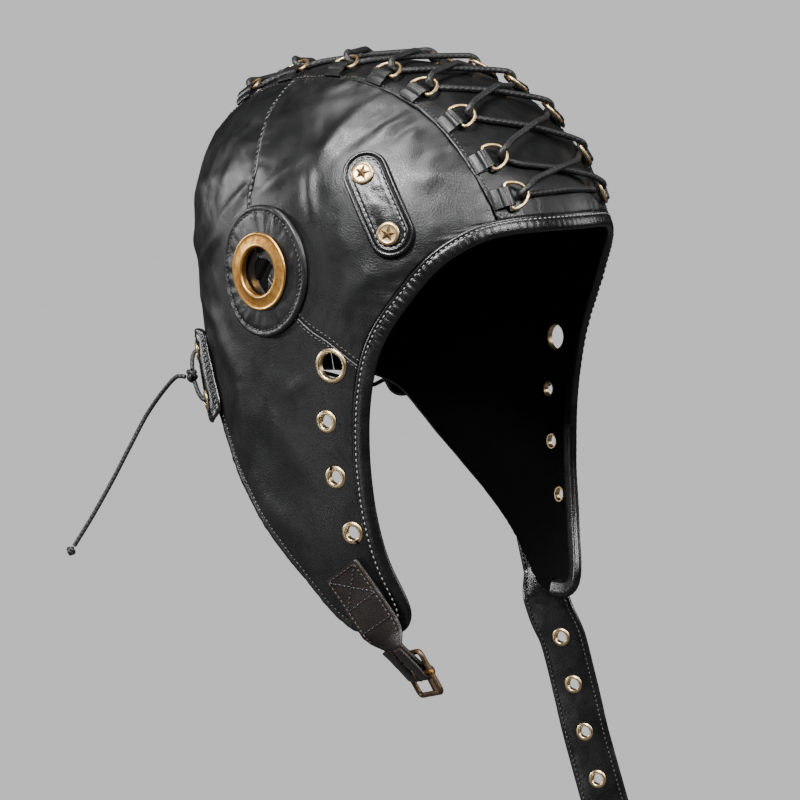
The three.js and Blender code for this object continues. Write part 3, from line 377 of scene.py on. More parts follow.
# %% Leather grain group
FLOAT, COLOUR, VECTOR = "NodeSocketFloat", "NodeSocketColor", "NodeSocketVector"
leather_group, into, out = node_group(
    "leather_grain",
    [("Vector", VECTOR, None), ("Grain Size", FLOAT, 1.0), ("Crease", FLOAT, 1.0), ("Dark", COLOUR, None),
     ("Light", COLOUR, None), ("Gloss", FLOAT, 0.4), ("Edge", FLOAT, 0.0)],
    [("Color", COLOUR), ("Roughness", FLOAT), ("Height", FLOAT)],
)
tree = leather_group
place = into.outputs["Vector"]
grain_scale = math_node(tree, "DIVIDE", 950.0, into.outputs["Grain Size"])
cells = put(tree, "ShaderNodeTexVoronoi", {"feature": "DISTANCE_TO_EDGE"}, Vector=place, Scale=grain_scale)
valleys = ramp(tree, cells.outputs["Distance"], 0.0, 0.16)
pores = put(tree, "ShaderNodeTexNoise", Vector=place, Scale=2600.0, Detail=2.0)
clouds = put(tree, "ShaderNodeTexNoise", Vector=place, Scale=70.0, Detail=5.0, Roughness=0.62, Distortion=0.6)
lines = put(tree, "ShaderNodeTexNoise", Vector=place, Scale=160.0, Detail=6.0, Roughness=0.7, Distortion=1.6)
creases = math_node(tree, "ABSOLUTE", math_node(tree, "SUBTRACT", lines.outputs["Fac"], 0.5))
crease_depth = ramp(tree, creases, 0.0, 0.05)
soft_creases = math_node(tree, "MULTIPLY", crease_depth, into.outputs["Crease"])
rubbed = ramp(tree, clouds.outputs["Fac"], 0.42, 0.72)
edge_rub = math_node(tree, "MULTIPLY", into.outputs["Edge"], ramp(tree, lines.outputs["Fac"], 0.35, 0.6))
tone = math_node(tree, "ADD", math_node(tree, "MULTIPLY", rubbed, 0.55), edge_rub)
skin_colour = put(tree, "ShaderNodeMix", {"data_type": "RGBA"}, Factor=tone)
tree.links.new(into.outputs["Dark"], skin_colour.inputs[6])
tree.links.new(into.outputs["Light"], skin_colour.inputs[7])
tree.links.new(skin_colour.outputs[2], out.inputs["Color"])
cloudy = math_node(tree, "MULTIPLY", clouds.outputs["Fac"], 0.22)
rough = math_node(tree, "ADD", into.outputs["Gloss"], cloudy)
rough = math_node(tree, "SUBTRACT", rough, math_node(tree, "MULTIPLY", valleys, 0.06))
rough = math_node(tree, "SUBTRACT", rough, math_node(tree, "MULTIPLY", edge_rub, 0.08))
tree.links.new(rough, out.inputs["Roughness"])
height = math_node(tree, "MULTIPLY", valleys, 0.28)
for layer, share in ((pores.outputs["Fac"], 0.07), (soft_creases, 0.35), (clouds.outputs["Fac"], 0.9)):
    height = math_node(tree, "ADD", height, math_node(tree, "MULTIPLY", layer, share))
tree.links.new(height, out.inputs["Height"])
print("leather group", len(leather_group.nodes), "nodes")


# %% A leather from the group
def leather(name, dark, light, gloss, grain=1.0, crease=1.0, bump=0.4, wear=0.0):
    """A leather finish: its two tones, how dull it is, and how coarse and creased its grain is."""
    material = bpy.data.materials.new(name)
    material.use_nodes = True
    tree = material.node_tree
    shader = tree.nodes["Principled BSDF"]
    where = put(tree, "ShaderNodeTexCoord").outputs["Object"]
    grain_node = put(tree, "ShaderNodeGroup", {"node_tree": leather_group}, Vector=where)
    values = {"Grain Size": grain, "Crease": crease, "Dark": dark, "Light": light, "Gloss": gloss}
    for socket, value in values.items():
        grain_node.inputs[socket].default_value = value
    worn = put(tree, "ShaderNodeAttribute", {"attribute_name": "edge"}).outputs["Fac"]
    tree.links.new(math_node(tree, "MULTIPLY", worn, wear), grain_node.inputs["Edge"])
    relief = put(tree, "ShaderNodeBump", Strength=bump, Distance=0.0006, Height=grain_node.outputs["Height"])
    tree.links.new(grain_node.outputs["Color"], shader.inputs["Base Color"])
    tree.links.new(grain_node.outputs["Roughness"], shader.inputs["Roughness"])
    tree.links.new(relief.outputs["Normal"], shader.inputs["Normal"])
    return material


black_leather = leather("black_leather", (0.0030, 0.0031, 0.0033, 1), (0.010, 0.0102, 0.0107, 1),
                        0.31, crease=0.06, bump=0.24, wear=0.14)
trim_leather = leather("trim_leather", (0.0030, 0.0030, 0.0032, 1), (0.011, 0.011, 0.0115, 1),
                       0.20, grain=0.8, crease=0.12, bump=0.16, wear=0.3)
brown_leather = leather("brown_leather", (0.0085, 0.0050, 0.0036, 1), (0.019, 0.0115, 0.0085, 1),
                        0.36, grain=0.7, crease=0.2, wear=0.4)
lining = leather("lining_leather", (0.0006, 0.0006, 0.0006, 1), (0.0016, 0.0016, 0.0017, 1),
                 0.9, grain=0.6, crease=0.5)
lining.node_tree.nodes["Principled BSDF"].inputs["Specular IOR Level"].default_value = 0.12
print("leathers ready")


# %% Metal, cord and thread
def plain_material(name, colour, roughness, metallic=0.0):
    material = bpy.data.materials.new(name)
    material.use_nodes = True
    shader = material.node_tree.nodes["Principled BSDF"]
    shader.inputs["Base Color"].default_value = colour
    shader.inputs["Roughness"].default_value = roughness
    shader.inputs["Metallic"].default_value = metallic
    return material, material.node_tree, shader


metal_group, into, out = node_group(
    "aged_metal",
    [("Vector", VECTOR, None), ("Bright", COLOUR, None), ("Tarnish", COLOUR, None), ("Age", FLOAT, 0.5),
     ("Dull", FLOAT, 0.25)],
    [("Color", COLOUR), ("Roughness", FLOAT), ("Height", FLOAT)],
)
tree = metal_group
place = into.outputs["Vector"]
patina = put(tree, "ShaderNodeTexNoise", Vector=place, Scale=420.0, Detail=6.0, Roughness=0.65)
scuffs = put(tree, "ShaderNodeTexNoise", Vector=place, Scale=1800.0, Detail=3.0)
amount = math_node(tree, "MULTIPLY", ramp(tree, patina.outputs["Fac"], 0.22, 0.62), into.outputs["Age"])
metal_colour = put(tree, "ShaderNodeMix", {"data_type": "RGBA"}, Factor=amount)
tree.links.new(into.outputs["Bright"], metal_colour.inputs[6])
tree.links.new(into.outputs["Tarnish"], metal_colour.inputs[7])
tree.links.new(metal_colour.outputs[2], out.inputs["Color"])
dull = math_node(tree, "ADD", into.outputs["Dull"], math_node(tree, "MULTIPLY", amount, 0.3))
dull = math_node(tree, "ADD", dull, math_node(tree, "MULTIPLY", scuffs.outputs["Fac"], 0.08))
tree.links.new(dull, out.inputs["Roughness"])
tree.links.new(math_node(tree, "ADD", patina.outputs["Fac"], scuffs.outputs["Fac"]), out.inputs["Height"])


def metal(name, bright, tarnish, age, dull):
    material, tree, shader = plain_material(name, bright, dull, 1.0)
    where = put(tree, "ShaderNodeTexCoord").outputs["Object"]
    aged = put(tree, "ShaderNodeGroup", {"node_tree": metal_group}, Vector=where)
    for socket, value in (("Bright", bright), ("Tarnish", tarnish), ("Dull", dull)):
        aged.inputs[socket].default_value = value
    rubbed = put(tree, "ShaderNodeAttribute", {"attribute_name": "edge"}).outputs["Fac"]
    tree.links.new(ramp(tree, rubbed, 0.0, 1.0, age, age * 0.25), aged.inputs["Age"])
    relief = put(tree, "ShaderNodeBump", Strength=0.12, Distance=0.0002, Height=aged.outputs["Height"])
    tree.links.new(aged.outputs["Color"], shader.inputs["Base Color"])
    tree.links.new(aged.outputs["Roughness"], shader.inputs["Roughness"])
    tree.links.new(relief.outputs["Normal"], shader.inputs["Normal"])
    return material


antique_brass = metal("antique_brass", (0.74, 0.43, 0.13, 1), (0.30, 0.12, 0.02, 1), 1.0, 0.24)
pale_brass = metal("pale_brass", (0.86, 0.68, 0.40, 1), (0.26, 0.14, 0.045, 1), 0.7, 0.2)
blackened = metal("blackened_bronze", (0.055, 0.042, 0.032, 1), (0.20, 0.13, 0.075, 1), 0.8, 0.32)


def cord_material(name, dark, light):
    """Braided cord: two crossed sets of strands wind round the tube, read from its own map."""
    material, tree, shader = plain_material(name, dark, 0.5)
    strands = put(tree, "ShaderNodeUVMap", {"uv_map": "along"}).outputs["UV"]
    parts = put(tree, "ShaderNodeSeparateXYZ", Vector=strands)
    one, two = (math_node(tree, "SINE", math_node(tree, way, parts.outputs["X"], parts.outputs["Y"]))
                for way in ("ADD", "SUBTRACT"))
    weave = math_node(tree, "MAXIMUM", one, two)
    where = put(tree, "ShaderNodeTexCoord").outputs["Object"]
    fuzz = put(tree, "ShaderNodeTexNoise", Vector=where, Scale=2400.0, Detail=2.0).outputs["Fac"]
    # Strand crowns are lighter and the grooves between strands darker: painted shade between the strands,
    # with the fuzz adding random tone.
    strand_groove_shade = ramp(tree, weave, -0.2, 1.0, 0.0, 0.7)
    tone = math_node(tree, "ADD", strand_groove_shade, math_node(tree, "MULTIPLY", fuzz, 0.3))
    shade = put(tree, "ShaderNodeMix", {"data_type": "RGBA"}, Factor=tone)
    shade.inputs[6].default_value = dark
    shade.inputs[7].default_value = light
    height = math_node(tree, "ADD", weave, fuzz)
    relief = put(tree, "ShaderNodeBump", Strength=0.45, Distance=0.0002, Height=height)
    tree.links.new(shade.outputs[2], shader.inputs["Base Color"])
    tree.links.new(relief.outputs["Normal"], shader.inputs["Normal"])
    return material


black_cord = cord_material("black_cord", (0.0035, 0.0035, 0.0035, 1), (0.012, 0.012, 0.0125, 1))
black_thread, _, _ = plain_material("waxed_thread", (0.030, 0.030, 0.031, 1), 0.28)
# A paler, warmer copy of the waxed thread: painted highlight for the buckle strap's edge stitches.
pale_thread, _, _ = plain_material("painted_highlight_edge_thread", (0.055, 0.048, 0.042, 1), 0.45)
# A lighter grey copy of the waxed thread: painted highlight for the stitches that glint on the side tabs and
# the face binding.
lit_thread, _, _ = plain_material("painted_highlight_thread", (0.22, 0.22, 0.22, 1), 0.25)
star_bronze = metal("star_bronze", (0.16, 0.095, 0.045, 1), (0.05, 0.03, 0.018, 1), 0.5, 0.35)
print("metals, cord and thread ready")

# %% [markdown]
# ## Edges and seams as curves in side view
#
# The panels are cut along curves that are easiest to draw from the side. Each is a list of a few points
# with a smooth curve through it. Lines are crossed with each other to find the panels' corners.

# %% Curves in side view
def smooth_line(points, step=1.0):
    """A curve through points, resampled at an even step."""
    points = np.asarray(points, float)
    padded = np.vstack([2 * points[0] - points[1], points, 2 * points[-1] - points[-2]])
    dense = []
    for a, b, c, d in zip(padded, padded[1:], padded[2:], padded[3:]):
        t = np.linspace(0, 1, 24, endpoint=False)[:, None]
        square, cube = 2 * a - 5 * b + 4 * c - d, 3 * b - a - 3 * c + d
        dense.append(0.5 * (2 * b + (c - a) * t + square * t**2 + cube * t**3))
    dense = np.vstack([*dense, points[-1:]])
    return resample(dense, step=step)


def lengths_along(points):
    steps = np.linalg.norm(np.diff(points, axis=0), axis=1)
    return np.concatenate([[0], np.cumsum(steps)])


def at_length(points, wanted):
    along = lengths_along(points)
    return np.stack([np.interp(wanted, along, points[:, k]) for k in range(points.shape[1])], -1)


def resample(points, step=1.0, count=None):
    total = lengths_along(points)[-1]
    count = count or max(int(round(total / step)), 1) + 1
    return at_length(points, np.linspace(0, total, count))


def shift_line(points, inset):
    """A side-view line moved towards the leather, which lies to its left."""
    ahead = unit(np.gradient(points, axis=0))
    return points + inset * np.stack([-ahead[:, 1], ahead[:, 0]], -1)


def crossing(one, two):
    """Where two lines cross: the place and its length along each."""
    a, b = one[:-1, None], one[1:, None]
    c, d = two[None, :-1], two[None, 1:]
    r, s = b - a, d - c
    area = r[..., 0] * s[..., 1] - r[..., 1] * s[..., 0]
    area = np.where(np.abs(area) < 1e-9, 1e-9, area)
    gap = c - a
    t = (gap[..., 0] * s[..., 1] - gap[..., 1] * s[..., 0]) / area
    u = (gap[..., 0] * r[..., 1] - gap[..., 1] * r[..., 0]) / area
    i, j = np.argwhere((t >= 0) & (t <= 1) & (u >= 0) & (u <= 1))[0]
    place = one[i] + t[i, j] * (one[i + 1] - one[i])
    along_one = lengths_along(one)[i] + t[i, j] * np.linalg.norm(one[i + 1] - one[i])
    along_two = lengths_along(two)[j] + u[i, j] * np.linalg.norm(two[j + 1] - two[j])
    return place, along_one, along_two


front_edge = smooth_line(np.stack([
    -CROWN_SETBACK - FRONT_EDGE[:, 0] * FRONT_REACH,
    -(BROW_DROP + FRONT_EDGE[:, 1] * (FLAP_DROP - BROW_DROP)),
], -1))
back_hem = smooth_line(np.stack([
    -CROWN_SETBACK + BACK_HEM[:, 0] * BACK_REACH,
    -(NAPE_DROP + BACK_HEM[:, 1] * (FLAP_DROP - NAPE_DROP)),
], -1))
binding_seam = shift_line(front_edge, BINDING_WIDTH + GAP)
flap_tip = front_edge[-1]


def strip_seam(extra):
    """The strip's edge as points of the skin, from the brow over the crown to the nape."""
    angles = np.linspace(0, 180, 220)
    x = np.full(angles.shape, 40.0)
    for _ in range(4):
        x = strip_half(on_crown(angles, x)[:, 1]) + extra
    over = on_crown(angles, x)
    down = np.linspace(GIRTH_Z, -NAPE_DROP - 6, 40)[1:]
    x = np.full(down.shape, 38.0)
    for _ in range(4):
        x = strip_half(on_back(x, down)[:, 1]) + extra
    return np.vstack([over, on_back(x, down)])


seam_over = strip_seam(GAP / 2)
seam_side_view = seam_over[:, 1:]
print("front edge", round(lengths_along(front_edge)[-1]), "mm, hem", round(lengths_along(back_hem)[-1]), "mm")

# %% [markdown]
# ## Wrinkles
#
# Thin leather over a head is never smooth. Long folds run where it is pulled, and short puckers stand
# square to the seams. The long folds are drawn as side-view lines with a height and a width. The
# rest is smooth noise, stretched across the seams. All of it only moves points along the skin's normal.

# %% Folds and noise
# Start, end, height and width of each fold of the side, in millimetres
FOLDS = [
    ((-24, -44), (-35, -17.5), 1.6, 4.5), ((-22.6, -46), (-27, -63.6), 1.3, 3.2),
    ((6.4, -56.7), (-26, -34.6), 1.2, 3.6), ((-7.5, -10.6), (-19, -7.8), 0.8, 3.0),
    ((13.5, -53.5), (26.8, -78.8), 1.3, 4.0), ((53, -87), (23.4, -68.5), 1.1, 3.6),
    ((-33.8, -30.8), (-47.1, -20.5), 1.0, 4.0), ((22.9, -37.8), (33.9, -51.9), 1.0, 5.0),
    ((9.9, -49.9), (29.5, -65.3), 1.0, 3.2), ((29.5, -65.3), (58.5, -87.5), 1.2, 3.6),
    ((34.8, -69), (66.4, -90.4), -1.0, 3.0), ((34.4, -18.2), (33.9, -7.1), 0.9, 4.0),
    ((45.5, -106.2), (21, -138.1), 1.4, 6.0), ((21, -138.1), (19.3, -168.3), 1.2, 6.5),
    ((40, -112), (66, -101), 0.9, 3.5), ((38, -124), (60, -120), 0.8, 4.0),
    ((-33.9, -144.2), (-39.1, -150.1), 0.9, 2.2), ((-33.5, -164.2), (-41.6, -172.9), 0.9, 2.4),
    ((-36, -188), (-44, -199), 0.7, 2.6), ((-26, -132), (-12, -141), 0.7, 3.0),
    ((-58.7, -81.8), (-45.6, -99.1), 0.8, 5.0), ((-71.7, -77.6), (-62, -88), 0.7, 3.0),
    ((-79.1, -67.3), (-70, -70), 0.7, 3.0), ((0, -150), (-22, -176), 0.9, 7.0),
    ((14, -185), (-14, -205), 0.9, 6.0), ((36.2, -23.8), (13.6, -27.7), -0.8, 4.0),
    ((-66, -50), (-80, -44), 1.0, 4.0), ((-62, -38), (-74, -34), -0.9, 4.0),
    ((70, -60), (40, -48), 0.9, 5.0), ((78, -84), (52, -70), 0.9, 4.5),
    ((-42, -37), (-54, -21), 1.1, 2.8), ((-37, -35), (-50, -17), -0.8, 2.4),
    ((-51, -42), (-61, -27), 0.9, 2.6), ((-46, -40), (-57, -24), -0.8, 2.2),
    ((-60, -56), (-72, -36), 0.8, 3.0), ((4, -22), (-20, -16), 0.8, 3.5),
]


def hills(points, size, seed, stretch=(1, 1, 1)):
    """Smooth noise at points, about one hill for each size in millimetres."""
    scale = 1 / (size * np.asarray(stretch, float))
    flat = (points.reshape(-1, 3) * scale + seed * 17.3).tolist()
    values = [noise.noise(Vector(p)) for p in flat]
    return np.array(values).reshape(points.shape[:-1])


def ripples(u, v, w, seed):
    """Smooth noise read at places given by three measures."""
    u, v, w = np.broadcast_arrays(np.asarray(u, float), np.asarray(v, float), float(w))
    return hills(np.stack([u, v, w], -1), 1, seed)


def fold_heights(y, z, folds):
    place = np.stack([y, z], -1)
    total = np.zeros(y.shape)
    for start, end, height, width in folds:
        a, b = np.array(start, float), np.array(end, float)
        t = np.clip(np.sum((place - a) * (b - a), -1) / np.sum((b - a) ** 2), 0, 1)
        away = np.linalg.norm(place - (a + t[..., None] * (b - a)), axis=-1)
        taper = np.sin(np.pi * np.clip(0.06 + 0.88 * t, 0, 1)) ** 0.7
        total += height * taper * np.exp(-((away / width) ** 2))
    return total


def near(y, z, centre, radius):
    """One inside a circle of the side view, fading to zero just outside it."""
    away = np.hypot(y - centre[0], z - centre[1])
    return np.clip((radius + 8 - away) / 8, 0, 1)


print("relief ready")

# %% [markdown]
# ## Laying leather
#
# A leather piece starts as a grid. Its points are moved to their places on the skin, a Solidify modifier
# gives it its thickness, and the edge row is rolled under first, so that each cut edge catches the light
# as a cut and skived leather edge does. An `edge` attribute marks the rubbed rim for the material.

# %% Helpers for sheets of leather
def piece_from_grid(name, points, material, closed=False):
    """A grid primitive with its points moved to rows of places, in millimetres."""
    rows, columns = points.shape[:2]
    bpy.ops.object.select_all(action="DESELECT")
    bpy.ops.mesh.primitive_grid_add(x_subdivisions=columns - 1, y_subdivisions=rows - 1, size=1)
    piece = bpy.context.object
    piece.name = piece.data.name = name
    piece.data.vertices.foreach_set("co", (points * MM).astype(np.float32).ravel())
    piece.data.update()
    piece.data.materials.append(material)
    if closed:
        merge_doubles(piece)
    return piece


def only(piece):
    """Selects one object alone and makes it active."""
    bpy.ops.object.select_all(action="DESELECT")
    piece.select_set(True)
    bpy.context.view_layer.objects.active = piece


def in_edit(piece, *steps):
    """Runs edit-mode operators on all of a piece."""
    only(piece)
    bpy.ops.object.mode_set(mode="EDIT")
    bpy.ops.mesh.select_all(action="SELECT")
    for step in steps:
        step()
    bpy.ops.object.mode_set(mode="OBJECT")


def merge_doubles(piece, distance=0.00002):
    in_edit(piece, lambda: bpy.ops.mesh.remove_doubles(threshold=distance))


def face_out(piece, outward):
    """Turns an open sheet so that its faces look the way that outward gives at their middle."""
    mesh = piece.data
    centres = np.empty(len(mesh.polygons) * 3)
    normals = np.empty(len(mesh.polygons) * 3)
    mesh.polygons.foreach_get("center", centres)
    mesh.polygons.foreach_get("normal", normals)
    ways = outward(centres.reshape(-1, 3) / MM)
    if np.sum(ways * normals.reshape(-1, 3)) < 0:
        mesh.flip_normals()


def mark_edge(piece, values):
    layer = piece.data.attributes.new("edge", "FLOAT", "POINT")
    layer.data.foreach_set("value", np.asarray(values, np.float32).ravel())


def apply(piece, kind, **settings):
    """Adds a modifier with settings and applies it."""
    only(piece)
    modifier = piece.modifiers.new("step", kind)
    for key, value in settings.items():
        setattr(modifier, key, value)
    bpy.ops.object.modifier_apply(modifier=modifier.name)


def smooth(piece, angle=40):
    only(piece)
    bpy.ops.object.shade_smooth_by_angle(angle=math.radians(angle))


def finish_piece(piece, replaced=(), body="cap"):
    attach(piece, body)
    if replaced:
        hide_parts(*replaced)


def roll_under(distance, radius=1.1):
    """How far a point sinks where the leather's edge is rolled under, by its distance from the edge."""
    share = np.clip(1 - distance / radius, 0, 1)
    return radius * (1 - np.sqrt(np.clip(1 - share**2, 0, 1)))


# %% [markdown]
# ## Side panels and flaps
#
# Each side is laid out like a spider's web round the ear: spokes run from the ear patch to the border,
# and rows follow the border. Rows and spokes near an edge or a seam stand closer, so the rolled edges,
# the stitching ditch and the puckers get enough points. The upright and the slanted seam are spokes too,
# bent to their curves, and they part the front panel from the flap.

# %% The border of one side
def border_points():
    """The border as (y, z), in order, with the lengths at which its corners and the two seams stand."""
    upright = smooth_line(UPRIGHT_SEAM)
    slanted = smooth_line(SLANTED_SEAM)
    _, over_front, edge_front = crossing(seam_side_view, binding_seam)
    _, over_nape, hem_nape = crossing(seam_side_view, back_hem)
    _, over_upright, _ = crossing(seam_side_view, upright)
    _, edge_slanted, _ = crossing(binding_seam, slanted)
    over = at_length(seam_side_view, np.arange(over_upright, over_front, -1.0))
    ahead = at_length(binding_seam, np.arange(edge_front, edge_slanted, 1.0))
    below = at_length(binding_seam, np.arange(edge_slanted, lengths_along(binding_seam)[-1], 1.0))
    tip = np.array([[flap_tip[0] + 0.01, flap_tip[1] + 3.4]])
    hem = at_length(back_hem, np.arange(0.0, hem_nape, 1.0))
    rear = at_length(seam_side_view, np.arange(over_nape, over_upright, -1.0))
    ends = [at_length(seam_side_view, v)[None] for v in (over_front, over_nape, over_upright)]
    front_panel = np.vstack([over, ends[0], ahead, at_length(binding_seam, edge_slanted)[None]])
    flap = np.vstack([at_length(binding_seam, edge_slanted)[None], below, tip, hem, ends[1], rear, ends[2]])
    return front_panel, flap, upright, slanted


front_border, flap_border, upright_line, slanted_line = border_points()
print("borders", len(front_border), len(flap_border), "points")

# %% Places that lie flat under a patch, a tab or an eyelet
# y, z, outer and inner diameter, from the top eyelet down
FLAP_EYELETS = [
    (-35.6, -127.6, 15.2, 11.2), (-31.6, -152.0, 10.0, 5.8),
    (-34.6, -176.0, 10.0, 5.8), (-41.2, -200.0, 10.0, 5.8),
]
SIDE_TAB = np.array([-56.0, -58.0])
SIDE_TAB_LEAN = math.radians(29)
SIDE_TAB_SIZE = (50.0, 21.0)


def flat_share(y, z):
    """One where the leather is held flat by something sewn on it."""
    share = near(y, z, EAR, 30)
    lean = np.array([-math.sin(SIDE_TAB_LEAN), -math.cos(SIDE_TAB_LEAN)])
    along = np.clip((y - SIDE_TAB[0]) * lean[0] + (z - SIDE_TAB[1]) * lean[1], -14.5, 14.5)
    share = np.maximum(share, near(y - along * lean[0], z - along * lean[1], SIDE_TAB, 11))
    for eyelet in FLAP_EYELETS:
        share = np.maximum(share, near(y, z, eyelet[:2], eyelet[2] / 2 + 1))
    return share


# %% Punch round holes in an open sheet
def punch(piece, frames, radius):
    """Removes a sheet's points inside circles and draws the ragged rims in to the circles."""
    for place, (_, _, out) in frames:
        mesh = piece.data
        spots = np.empty(len(mesh.vertices) * 3)
        mesh.vertices.foreach_get("co", spots)
        spots = spots.reshape(-1, 3) / MM - place
        height = spots @ out
        flat = spots - height[:, None] * out
        away = np.linalg.norm(flat, axis=1)
        near_hole = np.abs(height) < 8
        only(piece)
        bpy.ops.object.mode_set(mode="EDIT")
        bpy.ops.mesh.select_mode(type="VERT")
        bpy.ops.mesh.select_all(action="DESELECT")
        bpy.ops.object.mode_set(mode="OBJECT")
        mesh.vertices.foreach_set("select", near_hole & (away < radius))
        bpy.ops.object.mode_set(mode="EDIT")
        bpy.ops.mesh.delete(type="VERT")
        bpy.ops.mesh.select_non_manifold()
        bpy.ops.object.mode_set(mode="OBJECT")
        rim, worn = 0, mesh.attributes.get("edge")
        for vertex in mesh.vertices:
            spot = np.array(vertex.co) / MM - place
            level = spot @ out
            across = spot - level * out
            distance = np.linalg.norm(across)
            inner = worn is None or worn.data[vertex.index].value < 0.9
            if vertex.select and inner and distance < radius + 3.2 and abs(level) < 8:
                vertex.co = Vector((place + level * out + across * (radius + 0.05) / distance) * MM)
                rim += 1
        print(piece.name, "punched, rim of", rim)


# %% The web of one side
BORDER_STEPS = np.array([0, 0.25, 0.6, 1.1, 1.8, 2.7, 3.9])
PANEL_STEP = 1.5
PANEL_ROWS = 84
INNER_RADIUS = 11.6


def graded(total):
    """Lengths from 0 to total, closer at both ends."""
    inner = np.arange(BORDER_STEPS[-1] + PANEL_STEP, total - BORDER_STEPS[-1] - PANEL_STEP / 2, PANEL_STEP)
    return np.concatenate([BORDER_STEPS, inner, total - BORDER_STEPS[::-1]])


def web(side, border, first_seam, last_seam):
    """Places of a panel from its border in to the ear, one column for each spoke."""
    spokes = at_length(border, np.interp(
        graded(lengths_along(on_side(side, *border.T))[-1]),
        lengths_along(on_side(side, *border.T)), lengths_along(border)))
    t = np.linspace(INNER_RADIUS / 170, 1, 60)
    along = lengths_along(spokes)
    paths = EAR + t[:, None, None] * (spokes - EAR)
    for seam, end, away in ((first_seam, spokes[0], along), (last_seam, spokes[-1], along[-1] - along)):
        reach = crossing_length(seam, end)
        bent = at_length(seam, t * reach) - (EAR + t[:, None] * (end - EAR))
        weight = np.clip(1 - away / 40, 0, 1)
        weight = weight**2 * (3 - 2 * weight)
        paths = paths + bent[:, None, :] * weight[None, :, None]
    skin = on_side(side, paths[..., 0], paths[..., 1])
    steps = np.linalg.norm(np.diff(skin[::-1], axis=0), axis=-1)
    from_border = np.vstack([np.zeros(len(spokes)), np.cumsum(steps, axis=0)])[::-1]
    rows = []
    total = from_border[0]
    for k in range(PANEL_ROWS):
        if k < len(BORDER_STEPS):
            wanted = np.full(len(spokes), BORDER_STEPS[k])
        else:
            share = (k - len(BORDER_STEPS) + 1) / (PANEL_ROWS - len(BORDER_STEPS))
            wanted = BORDER_STEPS[-1] + share * (total - BORDER_STEPS[-1])
        rows.append([[np.interp(-w, -from_border[:, c], paths[:, c, axis]) for axis in (0, 1)]
                     for c, w in enumerate(wanted)])
    side_view = np.array(rows)
    points = on_side(side, side_view[..., 0], side_view[..., 1])
    steps = np.linalg.norm(np.diff(points, axis=0), axis=-1)
    return points, np.vstack([np.zeros(len(spokes)), np.cumsum(steps, axis=0)])


def crossing_length(line, place):
    """How far along a line the nearest point to a place is."""
    return lengths_along(line)[np.argmin(np.linalg.norm(line - place, axis=1))]


STITCH_DITCH = 0.22


def ditch(distance, at, width=0.55):
    return -STITCH_DITCH * np.exp(-(((distance - at) / width) ** 2))


def side_relief(points, border_distance, seam_distances, along_border, seed):
    """How far each point of a side moves off the plain skin."""
    y, z = points[..., 1], points[..., 2]
    calm = 1 - flat_share(y, z)
    relief = calm * fold_heights(y, z, FOLDS)
    lively = calm * (0.45 + 0.55 / (1 + np.exp(-(z + 105) / 12)))
    relief += calm * 0.6 * hills(points, 42, seed)
    relief += lively * 0.62 * hills(points, 17, seed + 1, (1, 1.3, 0.8))
    relief += lively * 0.30 * hills(points, 8.5, seed + 2, (1, 0.8, 1.4))
    relief += lively * 0.09 * hills(points, 4.2, seed + 4)
    puckers = ripples(along_border / 3.1, border_distance / 13, seed, seed + 3)
    relief += 0.5 * calm * puckers * np.exp(-border_distance / 6)
    relief -= roll_under(border_distance, 0.7)
    for distance in seam_distances:
        ribs = ripples(border_distance / 3.4, distance / 13, seed, seed + 5)
        relief += 0.5 * ribs * np.exp(-distance / 6.5) * calm
        relief -= roll_under(distance, 0.8)
    return relief


# %% Where the hem runs along the flap's border
flap_border_length = lengths_along(on_side(-1, *flap_border.T))
hem_corner = at_length(seam_side_view, crossing(seam_side_view, back_hem)[1])
HEM_START = flap_border_length[np.argmin(flap_border[:, 1])]
HEM_END = flap_border_length[np.argmin(np.linalg.norm(flap_border - hem_corner, axis=1))]
print("hem from", round(HEM_START), "to", round(HEM_END), "mm along the border")


def hem_band(from_border, _, along):
    """The hem is folded and sewn: a raised band with a ditch where its stitches run."""
    on_hem = np.clip((along - HEM_START) / 6, 0, 1) * np.clip((HEM_END - along) / 4, 0, 1)
    band = 0.55 / (1 + np.exp((from_border - 3.6) / 0.25))
    return on_hem * (band - 0.35 * np.exp(-(((from_border - 4.1) / 0.5) ** 2)))


# %% Build the panels and flaps
def panel(name, side, border, first_seam, last_seam, seed, ditches, eyelets=()):
    points, border_distance = web(side, border, first_seam, last_seam)
    seams = [np.linalg.norm(points - points[:, end, None], axis=-1) for end in (0, -1)]
    along = np.broadcast_to(lengths_along(points[0]), border_distance.shape)
    relief = side_relief(points, border_distance, seams, along, seed)
    for distance in ditches:
        relief += distance(border_distance, seams, along)
    normals = skin_normal(points)
    laid = points + normals * relief[..., None]
    sheet = piece_from_grid(name, laid, black_leather)
    sheet.data.materials.append(lining)
    face_out(sheet, lambda p: skin_normal(p))
    rub = np.exp(-np.minimum(border_distance, np.minimum(*seams)) / 0.9)
    mark_edge(sheet, rub)
    for frame, radius in eyelets:
        punch(sheet, [frame], radius)
    apply(sheet, "SOLIDIFY", thickness=LEATHER * MM, offset=-1, material_offset=1, material_offset_rim=0)
    smooth(sheet, 60)
    return sheet, dict(laid=laid, normals=normals, from_border=border_distance, seams=seams, along=along[0])


SIDES = (("right", -1), ("left", 1))
EYELET_WALL = 0.6
DOWN = np.array([0.0, 0.0, -1.0])


def side_frame(side, y, z, along=DOWN, off=0.0):
    place = on_side(side, y, z, off)
    return place, skin_frame(place, along)


